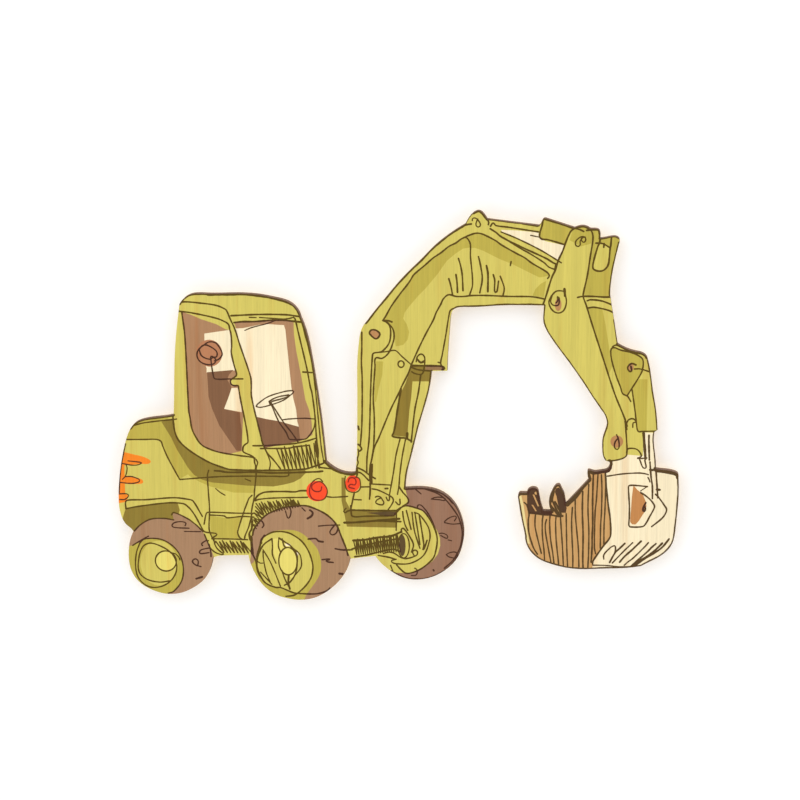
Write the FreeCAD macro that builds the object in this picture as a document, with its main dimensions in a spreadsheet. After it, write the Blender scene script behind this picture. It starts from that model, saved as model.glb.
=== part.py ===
import FreeCAD, Part
import math
import os

import Sketcher
from FreeCAD import Placement, Rotation, Vector

# Excavator wall cut-out: a five-ply board cut to one outline, hung on two D-ring
# hangers and kept off the wall by four soft bumpers.
# Frame, in mm: +X to the viewer's right, +Z up, the printed face looks along -Y.
# The wall is the plane Y = 0 and the origin lies midway between the two ring barrels.

DIMENSIONS = (
    ("standoff", 5.1, "gap between the wall and the board's back"),
    ("face_ply", 0.6, "thickness of each outer veneer"),
    ("cross_ply", 1.2, "thickness of each crossband"),
    ("core_thick", 2.4, "thickness of the core ply"),
    ("hanger_half", 118.0, "half the spacing of the two hangers"),
    ("sheet_thick", 0.8, "hanger strip thickness"),
    ("strap_width", 10.0, "hanger strip width"),
    ("strap_drop", 27.0, "barrel axis to the strap's lower end"),
    ("strap_round", 4.6, "corner radius at the strap's lower end"),
    ("fold_drop", 5.0, "barrel axis to where the two leaves meet"),
    ("wire_radius", 1.2, "ring wire radius"),
    ("wire_play", 0.08, "radial clearance of the wire in its barrel"),
    ("ring_half", 7.2, "half width of the ring, at the wire's centre line"),
    ("ring_corner", 1.6, "bend radius beside the ring's straight bar"),
    ("ring_side", 5.0, "barrel axis to the centre of the ring's round end"),
    ("ring_tilt", 5.0, "angle of the hanging ring off the strap, degrees"),
    ("screw_drop", 19.5, "barrel axis to screw axis"),
    ("screw_radius", 1.42, "screw shank radius"),
    ("screw_reach", 6.35, "screw length under the head"),
    ("screw_point", 1.5, "length of the screw's tapered point"),
    ("point_blunt", 0.2, "radius of the flat at the screw's point"),
    ("head_radius", 3.3, "screw head radius"),
    ("head_height", 1.9, "screw head height"),
    ("strap_hole", 1.8, "radius of the screw hole in the strap"),
    ("point_hole", 0.8, "radius of the blind hole round the screw's point"),
    ("point_depth", 0.7, "depth of that blind hole"),
    ("bumper_radius", 5.6, "bumper base radius"),
    ("bumper_crown", 4.9, "bumper radius at the wall"),
    ("bumper_edge", 0.5, "rounding of the bumper's outer rim"),
)
SIZE = {alias: value for alias, value, note in DIMENSIONS}

# The outline runs clockwise as the viewer sees it, from the corner where the rear
# body meets the cab. Each stretch starts where the one before it ends: one point is
# a straight cut, and more points are a smooth curve through them. (X, Z) in mm.
START = (-159.8, -68.2)
CAB = (
    ((-159.3, -55.0), (-158.7, -33.7), (-157.1, -12.0), (-155.2, 3.0), (-154.6, 7.6)),
    ((-151.8, 11.3), (-148.0, 13.8), (-136.0, 14.8), (-116.0, 15.3), (-100.0, 14.4),
     (-90.0, 12.6), (-80.0, 9.3), (-75.8, 5.3), (-73.4, 0.0)),
    ((-70.9, -6.3), (-66.0, -27.5), (-62.6, -49.0), (-60.0, -68.0), (-57.7, -89.4),
     (-56.8, -98.6)),
)
HOOD = (
    ((-52.2, -102.3), (-45.8, -105.3), (-40.0, -106.0), (-37.2, -105.6)),
    ((-36.8, -103.0),),
)
BOOM_BACK = (
    ((-36.2, -96.0), (-35.8, -80.0), (-35.6, -50.0), (-35.3, -25.0), (-34.3, -15.0),
     (-32.9, -8.0), (-29.8, -3.0)),
    ((-23.4, 5.5), (-18.5, 11.5), (-10.2, 21.8), (-2.6, 30.3), (7.5, 40.3),
     (14.7, 47.9), (24.7, 56.3), (36.0, 63.7)),
    ((38.2, 67.9), (40.5, 70.6), (43.3, 72.4), (45.1, 72.6), (47.0, 71.6),
     (48.6, 69.8), (50.4, 67.2)),
)
ARM_CYLINDER = (
    ((84.3, 63.4),),
    ((85.9, 65.4), (87.0, 67.6), (88.5, 68.2)),
    ((107.7, 62.2),),
)
STICK_HEAD = (
    ((109.7, 63.0), (112.7, 63.6), (115.2, 63.2), (117.6, 61.9)),
    ((121.5, 61.7), (123.3, 61.2), (124.2, 59.8), (124.3, 55.4)),
    ((129.1, 56.2), (132.1, 56.8), (134.6, 56.8), (136.4, 55.9), (137.1, 54.5),
     (137.0, 52.9)),
)
STICK_FRONT = (
    ((135.1, 45.0), (133.8, 38.8), (131.9, 26.5), (131.5, 17.5)),
    ((132.1, 13.5), (134.2, 1.8), (135.8, -8.2), (137.0, -14.8)),
    ((139.5, -16.2), (147.1, -19.2), (155.3, -21.9), (156.5, -23.5)),
    ((158.5, -31.2), (160.7, -46.0), (162.9, -58.1), (164.0, -67.5), (164.3, -72.0)),
    ((162.2, -73.6),),
    ((161.9, -79.3), (162.9, -88.9), (163.8, -98.8)),
)
BUCKET = (
    ((169.2, -99.3), (175.8, -100.4), (178.2, -101.7), (178.8, -104.0)),
    ((179.0, -120.6), (178.0, -134.2), (176.9, -145.1), (175.9, -149.0),
     (171.9, -155.1), (164.3, -160.7), (155.0, -165.8)),
    ((144.0, -167.4), (128.4, -168.2), (115.5, -168.9), (105.0, -168.1),
     (94.4, -165.6), (85.5, -161.6), (79.9, -155.7), (77.2, -146.2)),
    ((74.4, -133.2), (72.5, -121.8), (72.4, -118.4), (73.4, -117.0)),
    ((78.2, -117.0),),
)
TEETH = (
    ((79.3, -114.6), (82.4, -113.4), (85.0, -114.3), (86.0, -116.6), (86.8, -120.9),
     (87.9, -125.5), (89.2, -129.2)),
    ((94.6, -129.2),),
    ((93.1, -124.5), (93.2, -120.2), (95.4, -114.6), (98.2, -111.1), (99.8, -111.0),
     (100.9, -112.8), (102.6, -116.0), (103.7, -120.5), (104.3, -124.0)),
    ((119.3, -107.0),),
    ((118.5, -104.0), (118.4, -100.8)),
    ((119.9, -100.6), (121.8, -101.2), (128.7, -100.6), (131.1, -100.0),
     (132.6, -98.3), (132.9, -94.5)),
)
STICK_BACK = (
    ((130.2, -93.6),),
    ((128.8, -91.1), (127.9, -84.9), (127.9, -80.1), (129.9, -73.0), (130.8, -68.5),
     (130.1, -64.5), (127.0, -59.2)),
    ((120.6, -49.9), (111.0, -35.4), (99.4, -19.8), (93.1, -11.1), (89.6, -5.3),
     (88.0, -1.0), (87.8, 4.0), (88.2, 10.4)),
)
BOOM_UNDERSIDE = (
    ((72.2, 10.4), (59.0, 10.0), (37.9, 8.6), (31.0, 8.1), (28.4, 6.7), (26.9, 3.5),
     (26.3, -1.0)),
    ((25.7, -9.0), (25.0, -19.3), (24.5, -29.5), (24.5, -34.6)),
    ((14.0, -34.9),),
    ((13.0, -44.1), (10.9, -53.9), (5.2, -73.5), (0.8, -92.0), (-1.6, -101.3),
     (-3.6, -115.6)),
)
FRONT_AXLE_WHEEL = (
    ((5.3, -115.0), (14.8, -115.8), (22.4, -118.8), (29.1, -124.8), (33.3, -132.3),
     (36.1, -144.5), (35.2, -153.8), (32.4, -161.9), (25.1, -170.6), (15.6, -176.4),
     (5.4, -178.8), (-4.8, -177.7), (-13.0, -173.4), (-20.0, -167.7), (-23.7, -163.0)),
)
CHASSIS_FRONT = (
    ((-30.0, -163.8), (-41.0, -165.4)),
)
MIDDLE_WHEEL = (
    ((-42.8, -172.3), (-47.7, -180.2), (-55.2, -187.6), (-64.5, -193.1),
     (-75.3, -195.1), (-84.6, -194.1), (-90.1, -192.5), (-94.4, -190.3),
     (-100.0, -185.8), (-104.1, -180.4), (-107.0, -174.9), (-109.1, -169.4),
     (-110.2, -164.4)),
)
CHASSIS_REAR = (
    ((-118.6, -164.7), (-128.1, -165.2), (-132.4, -165.9), (-134.8, -167.4)),
)
REAR_WHEEL = (
    ((-136.3, -174.0), (-140.5, -181.9), (-146.9, -187.4), (-155.9, -191.9),
     (-166.4, -193.2), (-178.1, -190.0), (-187.0, -183.8), (-191.8, -174.2),
     (-192.5, -164.0), (-190.9, -154.3), (-188.9, -149.6)),
)
REAR_BODY = (
    ((-190.8, -147.3), (-193.9, -144.7), (-196.6, -140.0), (-198.4, -132.0),
     (-198.6, -125.0), (-197.9, -113.6), (-195.2, -96.1), (-192.1, -84.1),
     (-189.5, -78.1), (-186.4, -74.4), (-180.3, -71.7), (-171.7, -70.1), START),
)
OUTLINE = (
    CAB + HOOD + BOOM_BACK + ARM_CYLINDER + STICK_HEAD + STICK_FRONT + BUCKET + TEETH
    + STICK_BACK + BOOM_UNDERSIDE + FRONT_AXLE_WHEEL + CHASSIS_FRONT + MIDDLE_WHEEL
    + CHASSIS_REAR + REAR_WHEEL + REAR_BODY
)

BUMPERS = {
    "bumper_rear": (-165.0, -168.0),
    "bumper_middle": (-76.0, -168.0),
    "bumper_bucket": (150.0, -142.0),
    "bumper_boom": (42.0, 50.0),
}

doc = FreeCAD.newDocument("ExcavatorCutout")


def make_sheet():
    sheet = doc.addObject("Spreadsheet::Sheet", "Dims")
    for row, (alias, value, note) in enumerate(DIMENSIONS, start=1):
        sheet.set(f"A{row}", note)
        sheet.set(f"B{row}", str(value))
        sheet.setAlias(f"B{row}", alias)
    doc.recompute()


def new_body(label):
    body = doc.addObject("PartDesign::Body", label)
    body.Label = label
    return body


def new_sketch(body, role, name):
    sketch = body.newObject("Sketcher::SketchObject", name)
    plane = [f for f in body.Origin.OriginFeatures if f.Role == role][0]
    sketch.AttachmentSupport = [(plane, "")]
    sketch.MapMode = "FlatFace"
    return sketch


def bind_radius(sketch, index, name, expression, value):
    """Adds a radius to sketch curve `index` and ties it to the sheet."""
    number = sketch.addConstraint(Sketcher.Constraint("Radius", index, value))
    sketch.renameConstraint(number, name)
    sketch.setExpression(f"Constraints.{name}", expression)


def new_pad(body, sketch, name, expression, symmetric=False):
    pad = body.newObject("PartDesign::Pad", name)
    pad.Profile = sketch
    pad.setExpression("Length", expression)
    if symmetric:
        pad.Midplane = True
    sketch.Visibility = False
    return pad


def new_pocket(body, sketch, name, expression):
    """Cuts from an XZ-plane sketch towards the board, along -Y."""
    pocket = body.newObject("PartDesign::Pocket", name)
    pocket.Profile = sketch
    pocket.Reversed = True
    pocket.setExpression("Length", expression)
    sketch.Visibility = False
    return pocket


def round_edges(body, name, edges, expression):
    base = body.Tip
    rounding = body.newObject("PartDesign::Fillet", name)
    rounding.Base = (base, edges)
    rounding.setExpression("Radius", expression)
    body.Tip = rounding


def place(body, x, y, z):
    """Ties each coordinate of the body's position to the sheet."""
    for axis, expression in zip("xyz", (x, y, z)):
        body.setExpression(f".Placement.Base.{axis}", expression)


def draw_outline(sketch):
    here = Vector(START[0], START[1], 0)
    for stretch in OUTLINE:
        points = [here] + [Vector(x, z, 0) for x, z in stretch]
        if len(points) == 2:
            curve = Part.LineSegment(points[0], points[1])
        else:
            curve = Part.BSplineCurve()
            curve.interpolate(points)
        index = sketch.addGeometry(curve, False)
        sketch.addConstraint(Sketcher.Constraint("Block", index))
        here = points[-1]


def draw_screw_holes(sketch, radius_alias):
    """One hole behind each hanger, at the screw's axis."""
    for side in (-1, 1):
        centre = Vector(side * SIZE["hanger_half"], -SIZE["screw_drop"], 0)
        circle = Part.Circle(centre, Vector(0, 0, 1), SIZE[radius_alias])
        index = sketch.addGeometry(circle, False)
        name = "left" if side < 0 else "right"
        bind_radius(sketch, index, f"{name}_radius", f"Dims.{radius_alias}",
                    SIZE[radius_alias])


def make_ply(label, back, thickness, pierced):
    """One ply: the full outline, `thickness` thick, with its back at Y = `back`."""
    body = new_body(label)
    sketch = new_sketch(body, "XZ_Plane", f"{label}_outline")
    draw_outline(sketch)
    if pierced:
        draw_screw_holes(sketch, "screw_radius")
    doc.recompute()
    new_pad(body, sketch, f"{label}_pad", thickness)
    place(body, "0", back, "0")
    return body


def make_board():
    back = "-Dims.standoff"
    make_ply("back_veneer", back, "Dims.face_ply", True)
    back += " - Dims.face_ply"
    make_ply("back_crossband", back, "Dims.cross_ply", True)
    back += " - Dims.cross_ply"
    make_ply("core_ply", back, "Dims.core_thick", True)
    back += " - Dims.core_thick"
    front_band = make_ply("front_crossband", back, "Dims.cross_ply", False)
    doc.recompute()
    solid = front_band.Shape.Volume
    sketch = new_sketch(front_band, "XZ_Plane", "front_crossband_points")
    draw_screw_holes(sketch, "point_hole")
    new_pocket(front_band, sketch, "front_crossband_blind", "Dims.point_depth")
    doc.recompute()
    if front_band.Shape.Volume > solid - 1.0:
        raise RuntimeError("the blind screw holes cut nothing")
    back += " - Dims.cross_ply"
    make_ply("face_veneer", back, "Dims.face_ply", False)


def strap_profile(sketch):
    """Side view of the folded strip: loop round the wire, then two leaves together."""
    inner = SIZE["wire_radius"] + SIZE["wire_play"]
    outer = inner + SIZE["sheet_thick"]
    drop = SIZE["fold_drop"]
    slope = 2.0 * math.atan(inner / drop)
    across, down = math.cos(slope), -math.sin(slope)
    leaf = 2.0 * SIZE["sheet_thick"] - outer
    end = -SIZE["strap_drop"]
    bend = -drop - SIZE["sheet_thick"] * math.tan(slope / 2.0)
    outside = [Vector(-outer, 0, 0), Vector(-outer, end, 0), Vector(leaf, end, 0),
               Vector(leaf, bend, 0), Vector(outer * across, outer * down, 0)]
    inside = [Vector(-inner, 0, 0), Vector(-inner, -drop, 0),
              Vector(inner * across, inner * down, 0)]
    for points, radius in ((outside, outer), (inside, inner)):
        for a, b in zip(points, points[1:]):
            sketch.addGeometry(Part.LineSegment(a, b), False)
        loop = Part.Arc(points[-1], Vector(0, radius, 0), points[0])
        sketch.addGeometry(loop, False)
    for index in range(sketch.GeometryCount):
        sketch.addConstraint(Sketcher.Constraint("Block", index))


def make_strap(label, side):
    body = new_body(label)
    profile = new_sketch(body, "YZ_Plane", f"{label}_side")
    strap_profile(profile)
    new_pad(body, profile, f"{label}_strip", "Dims.strap_width", symmetric=True)
    doc.recompute()
    hole = new_sketch(body, "XZ_Plane", f"{label}_hole_sketch")
    circle = Part.Circle(Vector(0, -SIZE["screw_drop"], 0), Vector(0, 0, 1),
                         SIZE["strap_hole"])
    index = hole.addGeometry(circle, False)
    bind_radius(hole, index, "hole_radius", "Dims.strap_hole", SIZE["strap_hole"])
    new_pocket(body, hole, f"{label}_hole", "Dims.sheet_thick * 4")
    doc.recompute()
    ends = [f"Edge{i + 1}" for i, edge in enumerate(body.Shape.Edges)
            if all(abs(v.Z + SIZE["strap_drop"]) < 1e-4 for v in edge.Vertexes)
            and abs(abs(edge.CenterOfMass.x) - SIZE["strap_width"] / 2) < 1e-4]
    round_edges(body, f"{label}_end", ends, "Dims.strap_round")
    place(body, f"{side} * Dims.hanger_half",
          "-Dims.standoff + Dims.wire_radius + Dims.wire_play + Dims.sheet_thick", "0")


def ring_path(sketch):
    """Closed D: a straight bar on top, two short sides and a half-circle below."""
    half, bend, side = SIZE["ring_half"], SIZE["ring_corner"], SIZE["ring_side"]
    flat = half - bend
    dip = bend * (1.0 - math.sqrt(0.5))
    curves = [
        Part.LineSegment(Vector(-flat, 0, 0), Vector(flat, 0, 0)),
        Part.Arc(Vector(flat, 0, 0), Vector(half - dip, -dip, 0), Vector(half, -bend, 0)),
        Part.LineSegment(Vector(half, -bend, 0), Vector(half, -side, 0)),
        Part.Arc(Vector(half, -side, 0), Vector(0, -side - half, 0),
                 Vector(-half, -side, 0)),
        Part.LineSegment(Vector(-half, -side, 0), Vector(-half, -bend, 0)),
        Part.Arc(Vector(-half, -bend, 0), Vector(-half + dip, -dip, 0),
                 Vector(-flat, 0, 0)),
    ]
    for curve in curves:
        index = sketch.addGeometry(curve, False)
        sketch.addConstraint(Sketcher.Constraint("Block", index))


def make_ring(label, side):
    body = new_body(label)
    path = new_sketch(body, "XZ_Plane", f"{label}_path")
    ring_path(path)
    section = new_sketch(body, "YZ_Plane", f"{label}_section")
    circle = Part.Circle(Vector(0, 0, 0), Vector(0, 0, 1), SIZE["wire_radius"])
    index = section.addGeometry(circle, False)
    bind_radius(section, index, "wire", "Dims.wire_radius", SIZE["wire_radius"])
    doc.recompute()
    wire = body.newObject("PartDesign::AdditivePipe", f"{label}_wire")
    wire.Profile = section
    wire.Spine = (path, [f"Edge{i + 1}" for i in range(path.GeometryCount)])
    path.Visibility = False
    section.Visibility = False
    body.Placement = Placement(Vector(0, 0, 0), Rotation(Vector(1, 0, 0), SIZE["ring_tilt"]))
    body.setExpression(".Placement.Rotation.Angle", "Dims.ring_tilt * 1deg")
    place(body, f"{side} * Dims.hanger_half",
          "-Dims.standoff + Dims.wire_radius + Dims.wire_play + Dims.sheet_thick", "0")


def turned(body, label, points, arc=None):
    """Revolves a closed (radius, height) profile about the body's Y axis."""
    sketch = new_sketch(body, "XY_Plane", f"{label}_profile")
    corners = [Vector(r, h, 0) for r, h in points]
    for a, b in zip(corners, corners[1:] + corners[:1]):
        if arc and (a.x, a.y) == arc[0]:
            curve = Part.Arc(a, Vector(arc[1][0], arc[1][1], 0), b)
        else:
            curve = Part.LineSegment(a, b)
        index = sketch.addGeometry(curve, False)
        sketch.addConstraint(Sketcher.Constraint("Block", index))
    turn = body.newObject("PartDesign::Revolution", f"{label}_turn")
    turn.Profile = sketch
    turn.ReferenceAxis = (sketch, ["V_Axis"])
    turn.Angle = 360.0
    sketch.Visibility = False
    doc.recompute()


def cross_recess(body, label):
    """Four-armed driver recess, cut into the top of the head."""
    arm, half = 0.55 * SIZE["head_radius"], 0.35
    quarter = [(half, half), (half, arm), (-half, arm)]
    corners = []
    for turn in range(4):
        spin = Rotation(Vector(0, 0, 1), 90.0 * turn)
        corners += [spin.multVec(Vector(x, y, 0)) for x, y in quarter]
    ring = []
    for corner in corners:
        if not ring or (corner - ring[-1]).Length > 1e-6:
            ring.append(corner)
    if (ring[0] - ring[-1]).Length < 1e-6:
        ring.pop()
    sketch = new_sketch(body, "XZ_Plane", f"{label}_recess_sketch")
    sketch.AttachmentOffset = Placement(Vector(0, 0, -SIZE["head_height"]), Rotation())
    for a, b in zip(ring, ring[1:] + ring[:1]):
        index = sketch.addGeometry(Part.LineSegment(a, b), False)
        sketch.addConstraint(Sketcher.Constraint("Block", index))
    new_pocket(body, sketch, f"{label}_recess", "Dims.head_height * 0.65")


def make_screw(label, side):
    body = new_body(label)
    reach, point = SIZE["screw_reach"], SIZE["screw_point"]
    shank, head, height = SIZE["screw_radius"], SIZE["head_radius"], SIZE["head_height"]
    rim = 0.35 * height
    profile = [(0, -reach), (SIZE["point_blunt"], -reach), (shank, point - reach),
               (shank, 0), (head, 0), (head, rim), (0, height)]
    rise = height - rim
    ball = (head ** 2 + rise ** 2) / (2.0 * rise)
    half_turn = math.asin(head / ball) / 2.0
    middle = (ball * math.sin(half_turn), height - ball * (1.0 - math.cos(half_turn)))
    crown = ((head, rim), middle)
    turned(body, label, profile, crown)
    cross_recess(body, label)
    place(body, f"{side} * Dims.hanger_half", "-Dims.standoff + Dims.sheet_thick * 2",
          "-Dims.screw_drop")


def make_bumper(label, x, z):
    body = new_body(label)
    height = SIZE["standoff"]
    profile = [(0, 0), (SIZE["bumper_radius"], 0), (SIZE["bumper_crown"], height),
               (0, height)]
    turned(body, label, profile)
    rims = [f"Edge{i + 1}" for i, edge in enumerate(body.Shape.Edges)
            if edge.BoundBox.YMin > height - 1e-4]
    round_edges(body, f"{label}_rim", rims, "Dims.bumper_edge")
    place(body, str(x), "-Dims.standoff", str(z))


def export_parts():
    doc.recompute()
    for item in doc.Objects:
        if "Invalid" in item.State or "Error" in item.State:
            raise RuntimeError(f"{item.Name} failed: {item.State}")
    os.makedirs("parts", exist_ok=True)
    for body in [o for o in doc.Objects if o.TypeId == "PartDesign::Body"]:
        shape = body.Shape
        if shape.isNull() or not shape.isValid() or len(shape.Solids) != 1:
            raise RuntimeError(f"{body.Label} is not one valid solid")
        shape.exportStep(f"parts/{body.Label}.step")
        box = shape.BoundBox
        print(body.Label, round(shape.Volume, 1),
              [round(v, 2) for v in (box.XMin, box.XMax, box.YMin, box.YMax,
                                     box.ZMin, box.ZMax)])


make_sheet()
make_board()
for name, sign in (("left", -1), ("right", 1)):
    make_strap(f"hanger_strap_{name}", sign)
    make_ring(f"hanger_ring_{name}", sign)
    make_screw(f"hanger_screw_{name}", sign)
for name, (x_at, z_at) in BUMPERS.items():
    make_bumper(name, x_at, z_at)
export_parts()
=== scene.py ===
import math

import bpy
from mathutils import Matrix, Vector
from mathutils.geometry import delaunay_2d_cdt


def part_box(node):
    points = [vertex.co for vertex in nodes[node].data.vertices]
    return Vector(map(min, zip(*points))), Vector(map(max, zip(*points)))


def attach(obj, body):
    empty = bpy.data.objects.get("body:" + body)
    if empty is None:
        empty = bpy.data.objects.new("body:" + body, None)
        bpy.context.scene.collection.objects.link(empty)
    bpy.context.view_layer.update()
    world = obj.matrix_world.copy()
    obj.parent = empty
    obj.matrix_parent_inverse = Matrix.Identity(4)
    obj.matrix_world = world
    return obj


# Plywood wall cut-out of a wheeled excavator. The artwork below is in millimetres as
# (X, Z) on the printed face; the Blender scene is in metres in the same frame.

MM = 0.001
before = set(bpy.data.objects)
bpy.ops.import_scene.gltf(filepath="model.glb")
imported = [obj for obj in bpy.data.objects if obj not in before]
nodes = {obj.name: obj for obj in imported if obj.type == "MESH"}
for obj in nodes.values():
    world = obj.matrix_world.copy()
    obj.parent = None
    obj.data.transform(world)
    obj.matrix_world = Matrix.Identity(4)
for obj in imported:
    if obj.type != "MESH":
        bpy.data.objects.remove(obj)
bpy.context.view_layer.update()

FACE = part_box("face_veneer")[0].y

# Gaps in front of the face: the colour fields, the first ink region, then region by region.
FIELD_LIFT = 0.010 * MM
INK_LIFT = 0.022 * MM
INK_STEP = 0.002 * MM

# The pen: line width in mm for a width factor of 1, and the radius of a stroke's round
# end as a share of its width.
PEN = 1.03
ROUND_END = 0.48

# Sampling steps in mm: colour outlines, pen strokes, and ink along the cut edge.
FIELD_STEP = 1.5
STROKE_STEP = 0.9
EDGE_STEP = 1.5

# The stage: just behind the bumpers, well below the board, and the wall's own faint
# light, which stands in for a brighter studio background.
WALL_Y = 0.4 * MM
FLOOR_Z = -0.7
WALL_GLOW = 0.05

# Soft lights: name, position in metres, diameter, power. All aim at the same point.
LIGHTS = (
    ("key", (-0.35, -2.0, 1.2), 2.2, 9),
    ("fill_back", (0.9, 1.6, 1.0), 1.4, 9),
)
LIGHT_TARGET = (0, 0, -0.06)

CAMERA_TARGET = (-7, -11.1, -55)
CAMERA_AROUND = 5
CAMERA_ABOVE = 12
CAMERA_DISTANCE = 1.7778


def srgb(r, g, b):
    """Linear colour from 0-255 display values."""
    def linear(c):
        c /= 255.0
        return c / 12.92 if c <= 0.04045 else ((c + 0.055) / 1.055) ** 2.4
    return (linear(r), linear(g), linear(b), 1.0)


COLOURS = {
    "green": srgb(210, 196, 97),
    "green_deep": srgb(189, 173, 73),
    "olive": srgb(142, 122, 47),
    "olive_dark": srgb(140, 118, 43),
    "hub_yellow": srgb(230, 215, 111),
    "tyre_near": srgb(168, 130, 97),
    "tyre_far": srgb(153, 114, 90),
    "glass_brown": srgb(174, 131, 94),
    "seat_brown": srgb(131, 92, 63),
    "bare": srgb(247, 232, 196),
    "tan": srgb(204, 159, 100),
    "patch": srgb(192, 132, 76),
    "orange": srgb(245, 134, 30),
    "red": srgb(248, 76, 36),
    "salmon": srgb(186, 126, 88),
    "rust": srgb(188, 136, 86),
    "shade_brown": srgb(92, 72, 38),
    "bar_brown": srgb(150, 115, 75),
    "pale_strip": srgb(235, 215, 150),
    "tooth": srgb(83, 57, 36),
    "tooth_dark": srgb(60, 40, 30),
}
# The print is thin, so the ink takes on some of the colour beneath it.
INKS = {
    "ink_olive": srgb(88, 68, 8),
    "ink_brown": srgb(72, 42, 24),
    "ink_plain": srgb(84, 62, 30),
    "ink_red": srgb(132, 34, 22),
}
BROWN_UNDER = {"tyre_near", "tyre_far", "glass_brown", "seat_brown", "salmon",
               "patch", "shade_brown", "orange", "rust", "tooth", "tooth_dark",
               "bar_brown"}
PLAIN_UNDER = {"bare", "tan", "pale_strip"}

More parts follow.
